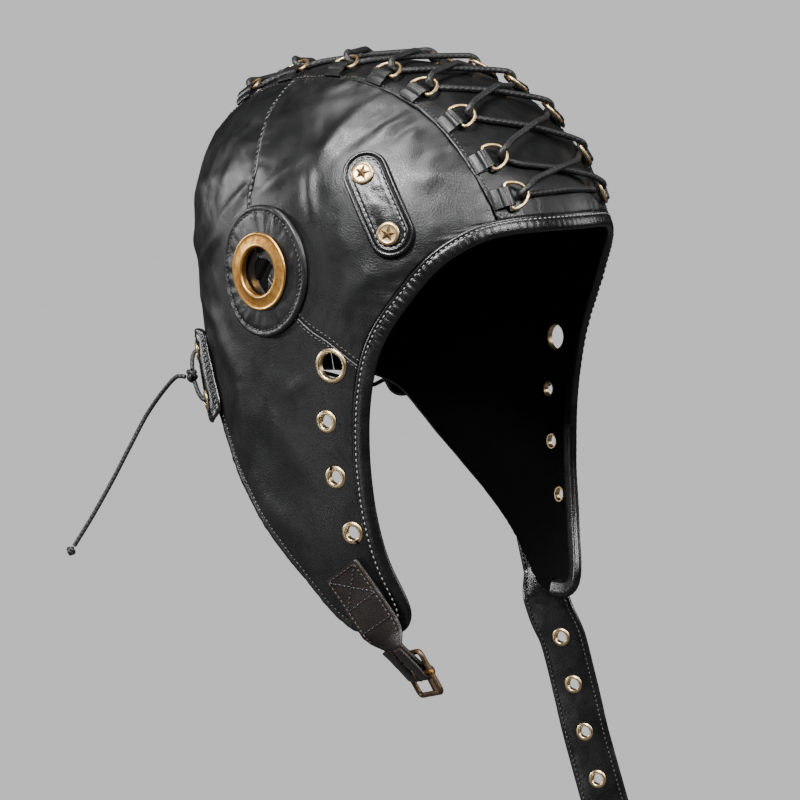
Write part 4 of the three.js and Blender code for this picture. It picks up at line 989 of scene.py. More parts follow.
flap_frames = {name: [side_frame(side, y, z) for y, z, outer, inner in FLAP_EYELETS] for name, side in SIDES}
webs = {}
for name, side in SIDES:
    sheet, webs["side", name] = panel(
        f"side_panel_{name}_leather", side, front_border, upright_line, slanted_line, 3 + side, [])
    finish_piece(sheet, [f"side_panel_{name}"])
    sheet, webs["flap", name] = panel(
        f"flap_panel_{name}_leather", side, flap_border, slanted_line, upright_line, 8 + side,
        [lambda d, seams, along: ditch(seams[1], 2.0) + ditch(seams[0], 2.0), hem_band],
        [(frame, row[3] / 2 + EYELET_WALL + GAP) for frame, row in zip(flap_frames[name], FLAP_EYELETS)])
    finish_piece(sheet, [f"flap_panel_{name}"])
    print(name, "side laid,", len(sheet.data.polygons), "faces on the flap")

# %% [markdown]
# ## The crown strip
#
# The strip is one long piece from the brow over the head to the nape. Its columns are lines of equal
# share of its width, so its side edges follow the seams, and its rows are spaced closer at both ends.

# %% Build the crown strip
EDGE_SHARES = np.array([0, 0.25, 0.6, 1.1, 1.8, 2.7, 3.9]) / 40
hem_side_view = np.vstack([back_hem, [200, back_hem[-1, 1]]])
brow_side_view = np.vstack([[-140, binding_seam[0, 1]], binding_seam[:40]])


def strip_line(share):
    """A line along the strip at a share of its half width, from the brow to the nape."""
    angles = np.linspace(0, 180, 260)
    x = np.full(angles.shape, 40.0 * share)
    for _ in range(4):
        x = share * strip_half(on_crown(angles, x)[:, 1])
    down = np.linspace(GIRTH_Z, -NAPE_DROP - 6, 40)[1:]
    low = np.full(down.shape, 38.0 * share)
    for _ in range(4):
        low = share * strip_half(on_back(low, down)[:, 1])
    line = np.vstack([on_crown(angles, x), on_back(low, down)])
    along = lengths_along(line)
    side_along = lengths_along(line[:, 1:])
    start = np.interp(crossing(line[:, 1:], brow_side_view)[1], side_along, along)
    end = np.interp(crossing(line[:, 1:], hem_side_view)[1], side_along, along)
    return line, along, start, end


def strip_web():
    half_shares = np.concatenate([1 - EDGE_SHARES, np.linspace(1 - EDGE_SHARES[-1], 0, 27)[1:]])
    shares = np.concatenate([-half_shares, half_shares[::-1][1:]]) * (1 - GAP / 2 / 40)
    columns = [strip_line(share) for share in shares]
    total = columns[len(columns) // 2][3] - columns[len(columns) // 2][2]
    rows = graded(total) / total
    return np.stack([at_length(line, start + rows * (end - start)) for line, along, start, end in columns], 1)


strip_points = strip_web()
across = np.linalg.norm(np.diff(strip_points, axis=1), axis=-1)
from_left = np.hstack([np.zeros((len(strip_points), 1)), np.cumsum(across, axis=1)])
from_right = from_left[:, -1:] - from_left
up = np.linalg.norm(np.diff(strip_points, axis=0), axis=-1)
from_brow = np.vstack([np.zeros((1, strip_points.shape[1])), np.cumsum(up, axis=0)])
from_nape = from_brow[-1:] - from_brow
strip_relief = 0.8 * hills(strip_points, 38, 21) + 0.4 * hills(strip_points, 15, 22, (1, 0.7, 1))
strip_edges = (
    (from_left, from_brow), (from_right, from_brow),
    (from_brow, from_left), (from_nape, from_left),
)
for distance, travelled in strip_edges:
    strip_relief += 0.4 * ripples(travelled / 3.6, distance / 12, 0, 23) * np.exp(-distance / 6)
    strip_relief -= roll_under(distance)
strip_normals = skin_normal(strip_points)
strip_laid = strip_points + strip_normals * strip_relief[..., None]
strip = piece_from_grid("crown_strip_leather", strip_laid, black_leather)
strip.data.materials.append(lining)
face_out(strip, skin_normal)
nearest_edge = np.min([distance for distance, _ in strip_edges], axis=0)
mark_edge(strip, np.exp(-nearest_edge / 0.9))
apply(strip, "SOLIDIFY", thickness=LEATHER * MM, offset=-1, material_offset=1, material_offset_rim=0)
finish_piece(strip, ["crown_strip"])
print("strip of", strip_points.shape, "places")

# %% [markdown]
# ## Tubes, wire and cord
#
# The rings and the lace are the same kind of shape, a round section carried along a path. A helper bends
# the path smoothly, wraps a grid round it and keeps a map of how far round and along each corner lies.

# %% Wrap a tube round a path
def eased(path, step=0.8, passes=8):
    """An even path whose corners are rounded by averaging neighbours."""
    path = resample(np.asarray(path, float), step=step)
    for _ in range(passes):
        path[1:-1] = (path[:-2] + 2 * path[1:-1] + path[2:]) / 4
    return path


def carried_frames(path, closed=False):
    """Two axes square to a path that turn as little as possible along it."""
    ahead = np.roll(path, -1, 0) - np.roll(path, 1, 0) if closed else np.gradient(path, axis=0)
    ahead = unit(ahead)
    start = np.eye(3)[np.argmin(np.abs(ahead[0]))]
    side = [unit(np.cross(ahead[0], start))]
    for way in ahead[1:]:
        side.append(unit(side[-1] - np.dot(side[-1], way) * way))
    side = np.array(side)
    if closed:
        back = unit(side[-1] - np.dot(side[-1], ahead[0]) * ahead[0])
        slip = math.atan2(np.dot(np.cross(side[0], back), ahead[0]), np.dot(side[0], back))
        turn = -slip * np.arange(len(path))[:, None] / len(path)
        side = np.cos(turn) * side + np.sin(turn) * np.cross(ahead, side)
    return side, np.cross(ahead, side)


def tube(name, path, radius, sides, material, closed=False, strands=3, lay=2.2, flat=1.0):
    side, up = carried_frames(path, closed)
    if closed:
        path, side, up = (np.vstack([v, v[:1]]) for v in (path, side, up))
    turn = np.linspace(0, 2 * np.pi, sides + 1)
    radius = np.broadcast_to(np.asarray(radius, float), (len(path),))[:, None, None]
    ring = np.cos(turn)[None, :, None] * side[:, None] + flat * np.sin(turn)[None, :, None] * up[:, None]
    piece = piece_from_grid(name, path[:, None] + radius * ring, material)
    along = lengths_along(path)
    corners = np.empty(len(piece.data.loops), np.int32)
    piece.data.loops.foreach_get("vertex_index", corners)
    cord_map = piece.data.uv_layers.new(name="along")
    places = np.stack([strands * turn[corners % (sides + 1)], lay * along[corners // (sides + 1)]], -1)
    cord_map.data.foreach_set("uv", places.astype(np.float32).ravel())
    merge_doubles(piece)
    if not closed:
        in_edit(piece, lambda: bpy.ops.mesh.select_all(action="DESELECT"),
                lambda: bpy.ops.mesh.select_non_manifold(), lambda: bpy.ops.mesh.edge_face_add())
    in_edit(piece, lambda: bpy.ops.mesh.normals_make_consistent(inside=False))
    smooth(piece, 50)
    return piece


# %% [markdown]
# ## Lacing rings
#
# Each ring is a D of round brass wire. Its straight bar sits in a folded tab and its bow leans inwards,
# lifted a little by the lace. The path is drawn once in the ring's own axes.

# %% Build the rings
RING_ANGLES = [17, 29, 45, 61.5, 76.5, 93.5, 113.5, 132]
TAB_REACH = 7.5
TAB_WIDTH = 8.5
TAB_LEATHER = 1.0
RING_WIRE = 1.6
RING_WIDTH = 13.5
RING_DEPTH = 10.5
RING_TILT = math.radians(11)
HINGE_CLEARANCE = 0.35
BAR_HEIGHT = TAB_LEATHER + HINGE_CLEARANCE + RING_WIRE / 2


def ring_frame(side, angle):
    """Place and axes of a ring's bar: x inwards across the strip, z off the leather."""
    half = strip_half(on_crown(angle, side * 42)[1])
    place = on_crown(angle, side * (half - TAB_REACH))
    return place, skin_frame(place, np.array([-side, 0.0, 0.0]))


def in_frame(frame, places):
    origin, (x, y, z) = frame
    places = np.asarray(places, float)
    return origin + places[..., :1] * x + places[..., 1:2] * y + places[..., 2:3] * z


def ring_path():
    wide, deep, corner = (RING_WIDTH - RING_WIRE) / 2, RING_DEPTH - RING_WIRE, 1.4
    turns = np.linspace(0, np.pi, 26)[1:-1]
    bow = np.stack([wide * np.cos(turns), corner + (deep - corner) * np.sin(turns)], -1)
    foot = np.array([[-wide + corner, 0], [0, 0], [wide - corner, 0], [wide - 0.4, 0.4], [wide, corner]])
    flat = np.vstack([foot, bow, [[-wide, corner], [-wide + 0.4, 0.4]]])
    flat = resample(np.vstack([flat, flat[:1]]), count=72)[:-1]
    across, deep = flat.T
    return np.stack([deep * math.cos(RING_TILT), across, BAR_HEIGHT + deep * math.sin(RING_TILT)], -1)


for name, side in SIDES:
    for i, angle in enumerate(RING_ANGLES, 1):
        bow = in_frame(ring_frame(side, angle), ring_path())
        ring = tube(f"d_ring_{name}_{i}_wire", bow, RING_WIRE / 2, 14, pale_brass, closed=True)
        finish_piece(ring, [f"d_ring_{name}_{i}"])
print(len(RING_ANGLES) * 2, "rings")

# %% [markdown]
# ## Lacing tabs
#
# A tab is a strip of thin leather that leaves the seam, rises over the ring's bar, turns round it and
# comes back underneath. One row of places across its width is carried along that path.

# %% Build the lacing tabs
def tab_rows():
    loop = BAR_HEIGHT - TAB_LEATHER / 2
    turns = np.radians(np.linspace(118, -90, 15))
    arc = np.stack([loop * np.cos(turns), BAR_HEIGHT + loop * np.sin(turns)], -1)
    lead = smooth_line(np.array([[-TAB_REACH + 0.3, 0.1], [-6.0, 1.2], [-4, 2.1], [-2.2, 3.1], arc[0]]), 0.25)
    back = np.array([[-1.5, 0.5], [-4, 0.5], [-6, 0.45]])
    return np.vstack([lead[:-1], arc, back])


tab_line = tab_rows()
tab_across = np.array([-1, -0.96, -0.86, -0.6, -0.2, 0.2, 0.6, 0.86, 0.96, 1]) * TAB_WIDTH / 2
tabs = []
for name, side in SIDES:
    for i, angle in enumerate(RING_ANGLES, 1):
        reach = tab_line[:, 0]
        wave = 0.25 * ripples(reach / 4, tab_line[:, 1] / 4, i * side, 31)
        bend = 0.45 * math.sin(2.3 * i + side) * np.clip(-reach / TAB_REACH, 0, 1)
        crown = np.where(tab_line[:, :1] < -1, 0.22, 0.1) * (1 - (tab_across[None] / tab_across[-1]) ** 2)
        outside = np.arange(len(tab_line)) < len(tab_line) - 18
        fold = 0.3 * np.exp(-(((reach + 2.6) / 0.5) ** 2)) - 0.45 * np.exp(-(((reach + 3.7) / 0.35) ** 2))
        wave = wave + np.where(outside, fold, 0)
        places = np.stack([
            np.repeat(tab_line[:, :1], len(tab_across), 1),
            tab_across[None] + bend[:, None],
            tab_line[:, 1:] + wave[:, None] + crown,
        ], -1)
        laid = in_frame(ring_frame(side, angle), places)
        tab = piece_from_grid(f"lacing_tab_{name}_{i}", laid, black_leather)
        rub = np.exp(-(tab_across[-1] - np.abs(tab_across)) / 0.35)
        mark_edge(tab, np.broadcast_to(rub, laid.shape[:2]))
        apply(tab, "SOLIDIFY", thickness=TAB_LEATHER * MM, offset=0)
        tabs.append(tab)
only(tabs[0])
for tab in tabs:
    tab.select_set(True)
bpy.ops.object.join()
lacing_tabs = bpy.context.object
lacing_tabs.name = lacing_tabs.data.name = "lacing_tabs"
in_edit(lacing_tabs, lambda: bpy.ops.mesh.normals_make_consistent(inside=False))
smooth(lacing_tabs, 45)
finish_piece(lacing_tabs)
print("tabs joined:", len(lacing_tabs.data.polygons), "faces")

# %% [markdown]
# ## The crown lace
#
# One round braided lace goes to and fro over the strip. It comes up through a ring, turns over the bow
# and leaves for the ring opposite, so at each crossing one end lies over the other.

# %% Build the crown lace
LACE = 2.7
# Inward from the bar, along the strip and height over the leather, as the lace passes a ring
LACE_AT_RING = np.array([
    [14.5, -5.0, 1.7], [8.8, -1.8, 1.4], [6.2, -0.5, 1.8], [4.8, 0.0, 3.4],
    [5.8, 0.8, 5.4], [9.2, 2.2, 6.3], [15.0, 5.2, 4.6],
])
LOW_CROSSING = 2.2
HIGH_CROSSING = 4.9
KNOT_HEIGHT = 5.5


def lace_at_ring(side, i):
    place, (inwards, _, out) = ring_frame(side, RING_ANGLES[i])
    radius = math.hypot(place[1] + CROWN_SETBACK, place[2] - GIRTH_Z)
    row = []
    for k, (inward, along, height) in enumerate(LACE_AT_RING):
        straight = (i == 0 and k < 3) or (i == len(RING_ANGLES) - 1 and k > 3)
        turn = 0 if straight else math.degrees(along / radius)
        row.append(on_crown(RING_ANGLES[i] + turn, place[0] + inwards[0] * inward + out[0] * height, height))
    return row


def lace_end(side, high):
    route = []
    for i in range(len(RING_ANGLES)):
        route += lace_at_ring(side, i)
        if i < len(RING_ANGLES) - 1:
            middle = (RING_ANGLES[i] + RING_ANGLES[i + 1]) / 2
            route.append(on_crown(middle, 0, HIGH_CROSSING if (i % 2 == 0) == high else LOW_CROSSING))
            side = -side
    return route + [on_crown(RING_ANGLES[-1], side * 2, KNOT_HEIGHT)]


front_bar = on_crown(RING_ANGLES[0], 0, 2.4)
lace_path = eased([*lace_end(-1, True)[::-1], front_bar, *lace_end(1, False)], 0.8, 7)
crown_lace = tube("crown_lace_cord", lace_path, LACE / 2, 12, black_cord)
knot_at = on_crown(RING_ANGLES[-1], 0, KNOT_HEIGHT)
knot_turns = np.linspace(0, 4 * np.pi, 60)
knot_radius = 2.3 + 0.5 * np.cos(1.5 * knot_turns)
knot_axes = skin_frame(knot_at, np.array([1.0, 0, 0]))
knot_path = in_frame((knot_at, knot_axes), np.stack([
    knot_radius * np.cos(knot_turns),
    knot_radius * np.sin(knot_turns),
    0.9 * np.sin(1.5 * knot_turns + 0.6),
], -1))
knot = tube("crown_lace_knot", knot_path, LACE / 2, 12, black_cord)
only(crown_lace)
knot.select_set(True)
bpy.ops.object.join()
finish_piece(crown_lace, ["crown_lace"])
print("lace of", round(lengths_along(lace_path)[-1]), "mm")

# %% [markdown]
# ## The face binding
#
# A strip of leather is folded over the front edge from flap tip to flap tip. Its section is a narrow U
# that is carried along the edge. Each place of the section is walked in over the skin and then lifted off
# it. Gathers cross it where the edge turns, because the strip is cut straight and is pulled into the bend.

# %% The whole front edge in space
def on_front(x, z, off=0.0):
    x, z = np.broadcast_arrays(np.asarray(x, float), np.asarray(z, float))
    return leave(np.stack([x, 0 * x, z], -1), (0, -1, 0), off)


BROW_SWITCH = 46.0


def edge_in_space(line):
    """A side-view line from the brow to the tip, carried over both sides and the brow."""
    sides = on_side(-1, line[:, 0], line[:, 1])
    first = np.argmax(np.abs(sides[:, 0]) > BROW_SWITCH)
    right = sides[first:][::-1]
    x = np.linspace(-BROW_SWITCH, BROW_SWITCH, 94)[1:-1]
    order = np.argsort(line[:60, 0])
    z = np.full(x.shape, line[0, 1])
    for _ in range(6):
        z = np.interp(on_front(x, z)[:, 1], line[:60, 0][order], line[:60, 1][order])
    left = right[::-1] * np.array([-1, 1, 1])
    return np.vstack([right, on_front(x, z), left])


def walk_in(path, inset, off):
    """Places beside a path on the skin: moved over the skin by inset, then lifted by off."""
    normal = skin_normal(path)
    ahead = unit(np.gradient(path, axis=0))
    inward = unit(np.cross(normal, ahead))
    moved = path + inward * np.asarray(inset)[..., None]
    moved = leave(moved - 8 * normal, normal)
    return moved + skin_normal(moved) * np.asarray(off)[..., None]


front_rail = eased(edge_in_space(front_edge), 1.0, 6)
middle_of_rail = front_rail[len(front_rail) // 2]
test = walk_in(front_rail, np.full(len(front_rail), 5.0), 0.0)
INWARD = 1 if test[len(test) // 2][2] > middle_of_rail[2] else -1
print("front edge of", round(lengths_along(front_rail)[-1]), "mm, inward", INWARD)

# %% Build the binding
BINDING_SECTION = np.array([
    [7.5, -1.0], [7.45, 0.0], [7.3, 0.4], [6.8, 0.72], [6.2, 0.75], [5.6, 0.5], [5.0, 0.8],
    [4.2, 0.98], [3.2, 1.05], [2.2, 1.05],
    [1.3, 0.95], [0.6, 0.65],
    [0.1, 0.0], [-0.05, -1.0], [0.1, -2.0], [0.6, -2.65], [1.4, -2.9], [2.4, -2.9], [3.6, -2.9], [5.6, -2.9],
    [6.9, -2.7], [7.4, -2.2], [7.5, -1.7], [7.5, -1.0],
])
rail_length = lengths_along(front_rail)
rows = []
for inset, off in BINDING_SECTION:
    outer = np.clip(off + 1.5, 0, 1)
    bend = np.exp(-(((front_rail[:, 2] + 108) / 26) ** 2))
    wander = 5 * ripples(rail_length / 26, 0, 0, 43)
    gather = (0.06 + 0.34 * bend) * np.sin(2 * np.pi * rail_length / 3.3 + wander + 0.12 * inset)
    gather += (0.05 + 0.15 * bend) * ripples(rail_length / 4.0, inset / 14, 0, 41)
    swell = 0.25 * ripples(rail_length / 24, 0, 0, 42)
    hold = min(max((6.0 - inset) / 1.6, 0), 1)
    lift = off + outer * (gather * hold + swell) * (0.2 if off < -2.5 else 1)
    rows.append(walk_in(front_rail, np.full(len(front_rail), INWARD * inset), lift))
binding_points = np.stack(rows, 1)
binding = piece_from_grid("face_binding_leather", binding_points, trim_leather)
merge_doubles(binding)
in_edit(binding, lambda: bpy.ops.mesh.select_all(action="DESELECT"),
        lambda: bpy.ops.mesh.select_non_manifold(), lambda: bpy.ops.mesh.edge_face_add())
in_edit(binding, lambda: bpy.ops.mesh.normals_make_consistent(inside=False))
smooth(binding, 60)
finish_piece(binding, ["face_binding"])
print("binding of", len(binding.data.polygons), "faces")

# %% [markdown]
# ## Ear patches
#
# A round of leather is laid over the side panel and held by a large brass grommet. Its grid runs round
# the ear and outwards in rings, so the stitched border, the puffy rim and the pulled wrinkles between
# grommet and seam can each follow the rings.

# %% Helpers for what lies on the skin
def over_skin(places, normal, off):
    """Carries places of a flat plan onto the skin, square to the plan, at a height."""
    return leave(places - 10 * normal, np.broadcast_to(normal, places.shape), off)


def ring_plan(radii, count):
    """Rings of unit directions scaled by radii, with the first column repeated at the end."""
    turns = np.linspace(0, 2 * np.pi, count + 1)
    return np.stack([np.cos(turns), np.sin(turns)], -1)[None] * np.asarray(radii)[..., None, None]


def spun(name, frame, profile, sides, material, angle=40, bright=None):
    """A shape turned about a frame's z from radius and height pairs."""
    profile = np.asarray(profile, float)
    flat = ring_plan(profile[:, 0], sides)
    places = np.concatenate([flat, np.broadcast_to(profile[:, 1][:, None, None], flat.shape[:2] + (1,))], -1)
    piece = piece_from_grid(name, in_frame(frame, places), material)
    if bright is not None:
        mark_edge(piece, np.broadcast_to(np.asarray(bright, float)[:, None], places.shape[:2]))
    merge_doubles(piece, 0.00001)
    in_edit(piece, lambda: bpy.ops.mesh.normals_make_consistent(inside=False))
    smooth(piece, angle)
    return piece


def lifted(frame, height):
    place, axes = frame
    return place + height * axes[2], axes


def drill(piece, frames, radius, reach=6, sides=20):
    """Cuts round holes through a piece at frames, one after another."""
    for place, axes in frames:
        bpy.ops.object.select_all(action="DESELECT")
        bpy.ops.mesh.primitive_cylinder_add(vertices=sides, radius=radius * MM, depth=2 * reach * MM)
        cutter = bpy.context.object
        turn = Matrix(np.stack(axes, -1).tolist()).to_4x4()
        cutter.data.transform(Matrix.Translation(Vector(place * MM)) @ turn)
        before = len(piece.data.polygons)
        apply(piece, "BOOLEAN", operation="DIFFERENCE", object=cutter, solver="EXACT")
        bpy.data.objects.remove(cutter, do_unlink=True)
        print(piece.name, "faces", before, "to", len(piece.data.polygons))


# %% Build the ear patches
PATCH_LEATHER = 2.0
PATCH_TOP = GAP + PATCH_LEATHER
PATCH_HALF = np.array([26.5, 29.0])
EAR_HOLE = 11.9
patches = {}
patch_edge = np.concatenate([[0, 0.12, 0.35, 0.7, 1.1, 1.6, 2.2, 2.8, 3.4, 4.2], np.linspace(5.2, 15.5, 12)])
for name, side in SIDES:
    turns = np.linspace(0, 2 * np.pi, 181)
    outer = np.stack([np.cos(turns), np.sin(turns)], -1) * PATCH_HALF
    reach = np.linalg.norm(outer, axis=-1)
    share = (patch_edge / 15.5)[:, None]
    radius = reach[None] - np.minimum(share, 1) * (reach[None] - EAR_HOLE)
    from_edge = reach[None] - radius
    plan = unit(outer)[None] * radius[..., None]
    y, z = EAR[0] + plan[..., 0], EAR[1] + plan[..., 1]
    skin = on_side(side, y, z, PATCH_TOP)
    normals = skin_normal(skin)
    round_trip = np.broadcast_to(turns, from_edge.shape)
    circle = np.stack([np.cos(round_trip), np.sin(round_trip), 0 * round_trip], -1)
    relief = -1.2 * np.clip(1 - from_edge / 1.1, 0, 1) ** 2 + 0.12 * np.exp(-(((from_edge - 1.4) / 0.8) ** 2))
    run = lengths_along(skin[0])[None]
    pitch = run[0, -1] / round(run[0, -1] / 2.3)
    relief += ditch(from_edge, 3.2, 0.8) * (1.6 + 1.0 * np.cos(2 * np.pi * run / pitch))
    gathers = 0.45 * hills(circle * 7.5 + from_edge[..., None] / 14, 1, 51 + side)
    relief += gathers * np.clip(from_edge / 4, 0.25, 1) * np.exp(-np.clip(from_edge - 6, 0, 20) / 4)
    relief += 0.2 * hills(skin, 9, 53)
    patch = piece_from_grid(f"ear_patch_{name}_leather", skin + normals * relief[..., None], black_leather)
    face_out(patch, skin_normal)
    mark_edge(patch, np.exp(-from_edge / 0.6))
    merge_doubles(patch)
    apply(patch, "SOLIDIFY", thickness=PATCH_LEATHER * MM * 0.9, offset=-1)
    smooth(patch, 60)
    finish_piece(patch, [f"ear_patch_{name}"])
    patches[name] = dict(skin=skin + normals * relief[..., None], normals=normals, from_edge=from_edge)
    grommet = spun(f"ear_grommet_{name}_ring", side_frame(side, *EAR, off=PATCH_TOP), [
        [10.5, -1.6], [10.5, 0.6], [10.62, 1.05], [10.9, 1.38], [11.3, 1.52], [11.75, 1.48], [12.15, 1.3],
        [12.5, 1.12], [13.5, 0.98], [14.6, 0.84], [15.6, 0.72], [15.9, 0.78], [16.2, 0.9], [16.5, 0.9],
        [16.8, 0.72], [17.0, 0.4], [17.0, 0.05], [11.5, 0.05], [11.5, -1.6], [10.5, -1.6],
    ], 96, antique_brass, 40, [1, 1, 1, 1, 1, 0.9, 0.4, 0, 0, 0, 0, 0.6, 1, 1, 1, 0.6, 0, 0, 0, 0])
    finish_piece(grommet, [f"ear_grommet_{name}"])
print("ear patches and grommets in place")

# %% The lining seen through each ear ring
for name, side in SIDES:
    radii = np.linspace(0.2, 12.6, 14)
    flat = ring_plan(radii, 48)
    y, z = EAR[0] + flat[..., 0], EAR[1] + flat[..., 1]
    slant = (flat[..., 0] * 0.8 + flat[..., 1] * 0.6)
    crease = -1.1 * np.exp(-((slant / 0.8) ** 2)) + 0.35 * np.exp(-(((slant - 2.2) / 1.5) ** 2))
    skin = on_side(side, y, z)
    laid = skin + skin_normal(skin) * (crease - 0.6)[..., None]
    port = piece_from_grid(f"ear_port_{name}_lining", laid, lining)
    merge_doubles(port)
    in_edit(port, lambda: bpy.ops.mesh.select_all(action="DESELECT"))
    face_out(port, skin_normal)
    apply(port, "SOLIDIFY", thickness=1.0 * MM, offset=-1)
    smooth(port, 60)
    finish_piece(port)

# %% [markdown]
# ## Eyelets
#
# An eyelet is a thin brass tube whose lip is rolled over the leather. One profile is turned for each of
# the four sizes, and holes are cut through the leather first so that one can look through them.

# %% Build the flap eyelets
def eyelet(name, frame, outer, inner, through, slot="antique_brass", material=pale_brass):
    a, b = inner / 2, outer / 2
    span = b - a
    profile = [
        [a, -through], [a, 0.2], [a + 0.07 * span, 0.48], [a + 0.2 * span, 0.68], [a + 0.42 * span, 0.76],
        [a + 0.64 * span, 0.66], [a + 0.84 * span, 0.42], [b - 0.05, 0.2], [b, 0.06],
        [a + EYELET_WALL, 0.08], [a + EYELET_WALL, -through], [a, -through],
    ]
    piece = spun(name, frame, profile, 48, material, 40, [0, 0.6, 1, 1, 1, 0.8, 0.2, 0, 0, 0, 0, 0])
    finish_piece(piece, [name.removesuffix("_ring")])
    return piece


for name, side in SIDES:
    for k, (frame, (y, z, outer, inner)) in enumerate(zip(flap_frames[name], FLAP_EYELETS), 1):
        eyelet(f"flap_eyelet_{name}_{k}_ring", frame, outer, inner, LEATHER + GAP)
print("flap eyelets set")

# %% [markdown]
# ## Studded side tabs
#
# A tab is a thick pill of leather with a doubled edge, a row of stitches and a star stud at each end. Its
# grid runs round the outline and in to the middle line, so the doubled edge is only a matter of height.

# %% Build the side tabs
SIDE_TAB_LEATHER = 2.4
STUD_SPACING = 29.0


def pill_plan(length, width, insets, around_end=26, straight=30):
    """Rows of a pill outline moved in by insets, as along and across."""
    insets = np.asarray(insets, float)[:, None]
    r = width / 2
    reach = length / 2 - r
    turns = np.linspace(-np.pi / 2, np.pi / 2, around_end)[:-1]
    run = np.linspace(reach, -reach, straight + 1)[:-1]
    along = np.concatenate([reach + 0 * turns, run, -reach + 0 * turns, -run])
    way = np.concatenate([
        np.stack([np.cos(turns), np.sin(turns)], -1), np.tile([[0.0, 1.0]], (straight, 1)),
        -np.stack([np.cos(turns), np.sin(turns)], -1), np.tile([[0.0, -1.0]], (straight, 1))])
    along, way = np.append(along, along[0]), np.vstack([way, way[:1]])
    left = np.maximum(r - insets, 0)
    return np.stack([along[None] + left * way[None, :, 0], left * way[None, :, 1]], -1)


def flat_frame(side, y, z, along):
    place = on_side(side, y, z)
    return place, skin_frame(place, along)


TAB_INSETS = np.concatenate([
    [0, 0.1, 0.3, 0.6, 1.0, 1.5, 2.0, 2.3, 2.6, 3.0, 3.4, 3.9, 4.4, 4.9, 5.5], np.linspace(6.3, 10.5, 6),
])
side_tabs = {}
for name, side in SIDES:
    lean = np.array([0, -math.sin(SIDE_TAB_LEAN), -math.cos(SIDE_TAB_LEAN)])
    frame = flat_frame(side, *SIDE_TAB, lean)
    plan = pill_plan(*SIDE_TAB_SIZE, TAB_INSETS)
    flat = in_frame(frame, np.concatenate([plan, 0 * plan[..., :1]], -1))
    top = GAP + SIDE_TAB_LEATHER
    skin = over_skin(flat, frame[1][2], top)
    normals = skin_normal(skin)
    d = np.broadcast_to(TAB_INSETS[:, None], skin.shape[:2])
    relief = -1.7 * np.clip(1 - d / 0.9, 0, 1) ** 2 - 0.75 * np.exp(-(((d - 2.3) / 0.42) ** 2))
    relief += 0.15 * np.exp(-(((d - 3.3) / 0.5) ** 2))
    relief += ditch(d, 4.1, 0.6) * 1.6 - 0.35 * np.clip((d - 4.2) / 2, 0, 1)
    relief += (0.3 * hills(skin, 6, 61) + 0.12 * hills(skin, 2.6, 62)) * np.clip((d - 4.6) / 1.5, 0, 1)
    laid = skin + normals * relief[..., None]
    tab = piece_from_grid(f"side_tab_{name}_leather", laid, trim_leather)
    face_out(tab, skin_normal)
    mark_edge(tab, np.exp(-d / 0.55) + 0.6 * np.exp(-(((d - 3.0) / 0.35) ** 2)))
    merge_doubles(tab)
    apply(tab, "SOLIDIFY", thickness=SIDE_TAB_LEATHER * 0.95 * MM, offset=-1)
    smooth(tab, 60)
    finish_piece(tab, [f"side_tab_{name}"])
    side_tabs[name] = dict(laid=laid, normals=normals, insets=TAB_INSETS)
    for level, end in (("upper", -1), ("lower", 1)):
        place = in_frame(frame, [end * STUD_SPACING / 2, 0, 0])
        base = side_frame(side, place[1], place[2], lean, top - 0.3)
        stud = spun(f"star_stud_{name}_{level}_head", base, [
            [5.0, 0.0], [5.0, 0.55], [4.85, 0.95], [4.5, 1.2], [4.05, 1.28], [3.8, 1.12], [3.5, 1.06],
            [2.0, 1.1], [0.0, 1.12]],
            40, pale_brass, 30)
        turns = np.pi * np.arange(11) / 5
        radius = np.where(np.arange(11) % 2, 1.55, 3.7)
        ring = np.stack([radius * np.cos(turns), radius * np.sin(turns), 0 * turns + 1.1], -1)
        heights = np.stack([ring, ring + [0, 0, 0.18], np.broadcast_to([0, 0, 1.85], ring.shape)])
        mark = piece_from_grid("star", in_frame(base, heights), star_bronze)
        merge_doubles(mark, 0.000005)
        in_edit(mark, lambda: bpy.ops.mesh.normals_make_consistent(inside=False))
        only(stud)
        mark.select_set(True)
        bpy.ops.object.join()
        finish_piece(stud, [f"star_stud_{name}_{level}"])
print("side tabs studded")

# %% [markdown]
# ## Back tabs and their lace
#
# Beside the nape two tabs stand off the leather on their eyelet side, so that a thin lace can pass under
# them. The lace crosses the nape twice and is knotted on the wearer's right, with one long tail.

# %% Build the back tabs
BACK_TAB_X = 59.0
BACK_TAB_DROP = 138.0
BACK_TAB_SIZE = (45.0, 15.0)
BACK_TAB_LEAN = math.radians(27)
BACK_TAB_LIFT = 2.9
BACK_TAB_TOP = GAP + LEATHER + BACK_TAB_LIFT
BACK_EYELET = (9.6, 5.4)
BACK_EYELET_SPACING = 24.0
BACK_LACE = 2.0


def back_tab_frame(side):
    place = on_back(side * BACK_TAB_X, -BACK_TAB_DROP)
    lean = math.sin(BACK_TAB_LEAN)
    along = np.array([side * 0.36 * lean, -lean, -math.cos(BACK_TAB_LEAN)])
    return place, skin_frame(place, along)


def over_back_tab(side, along, outward, off):
    flat = in_frame(back_tab_frame(side), [along, -side * outward, 0])
    inner = np.array([0, -CROWN_SETBACK, flat[2]])
    return leave(inner, unit(flat - inner), off)


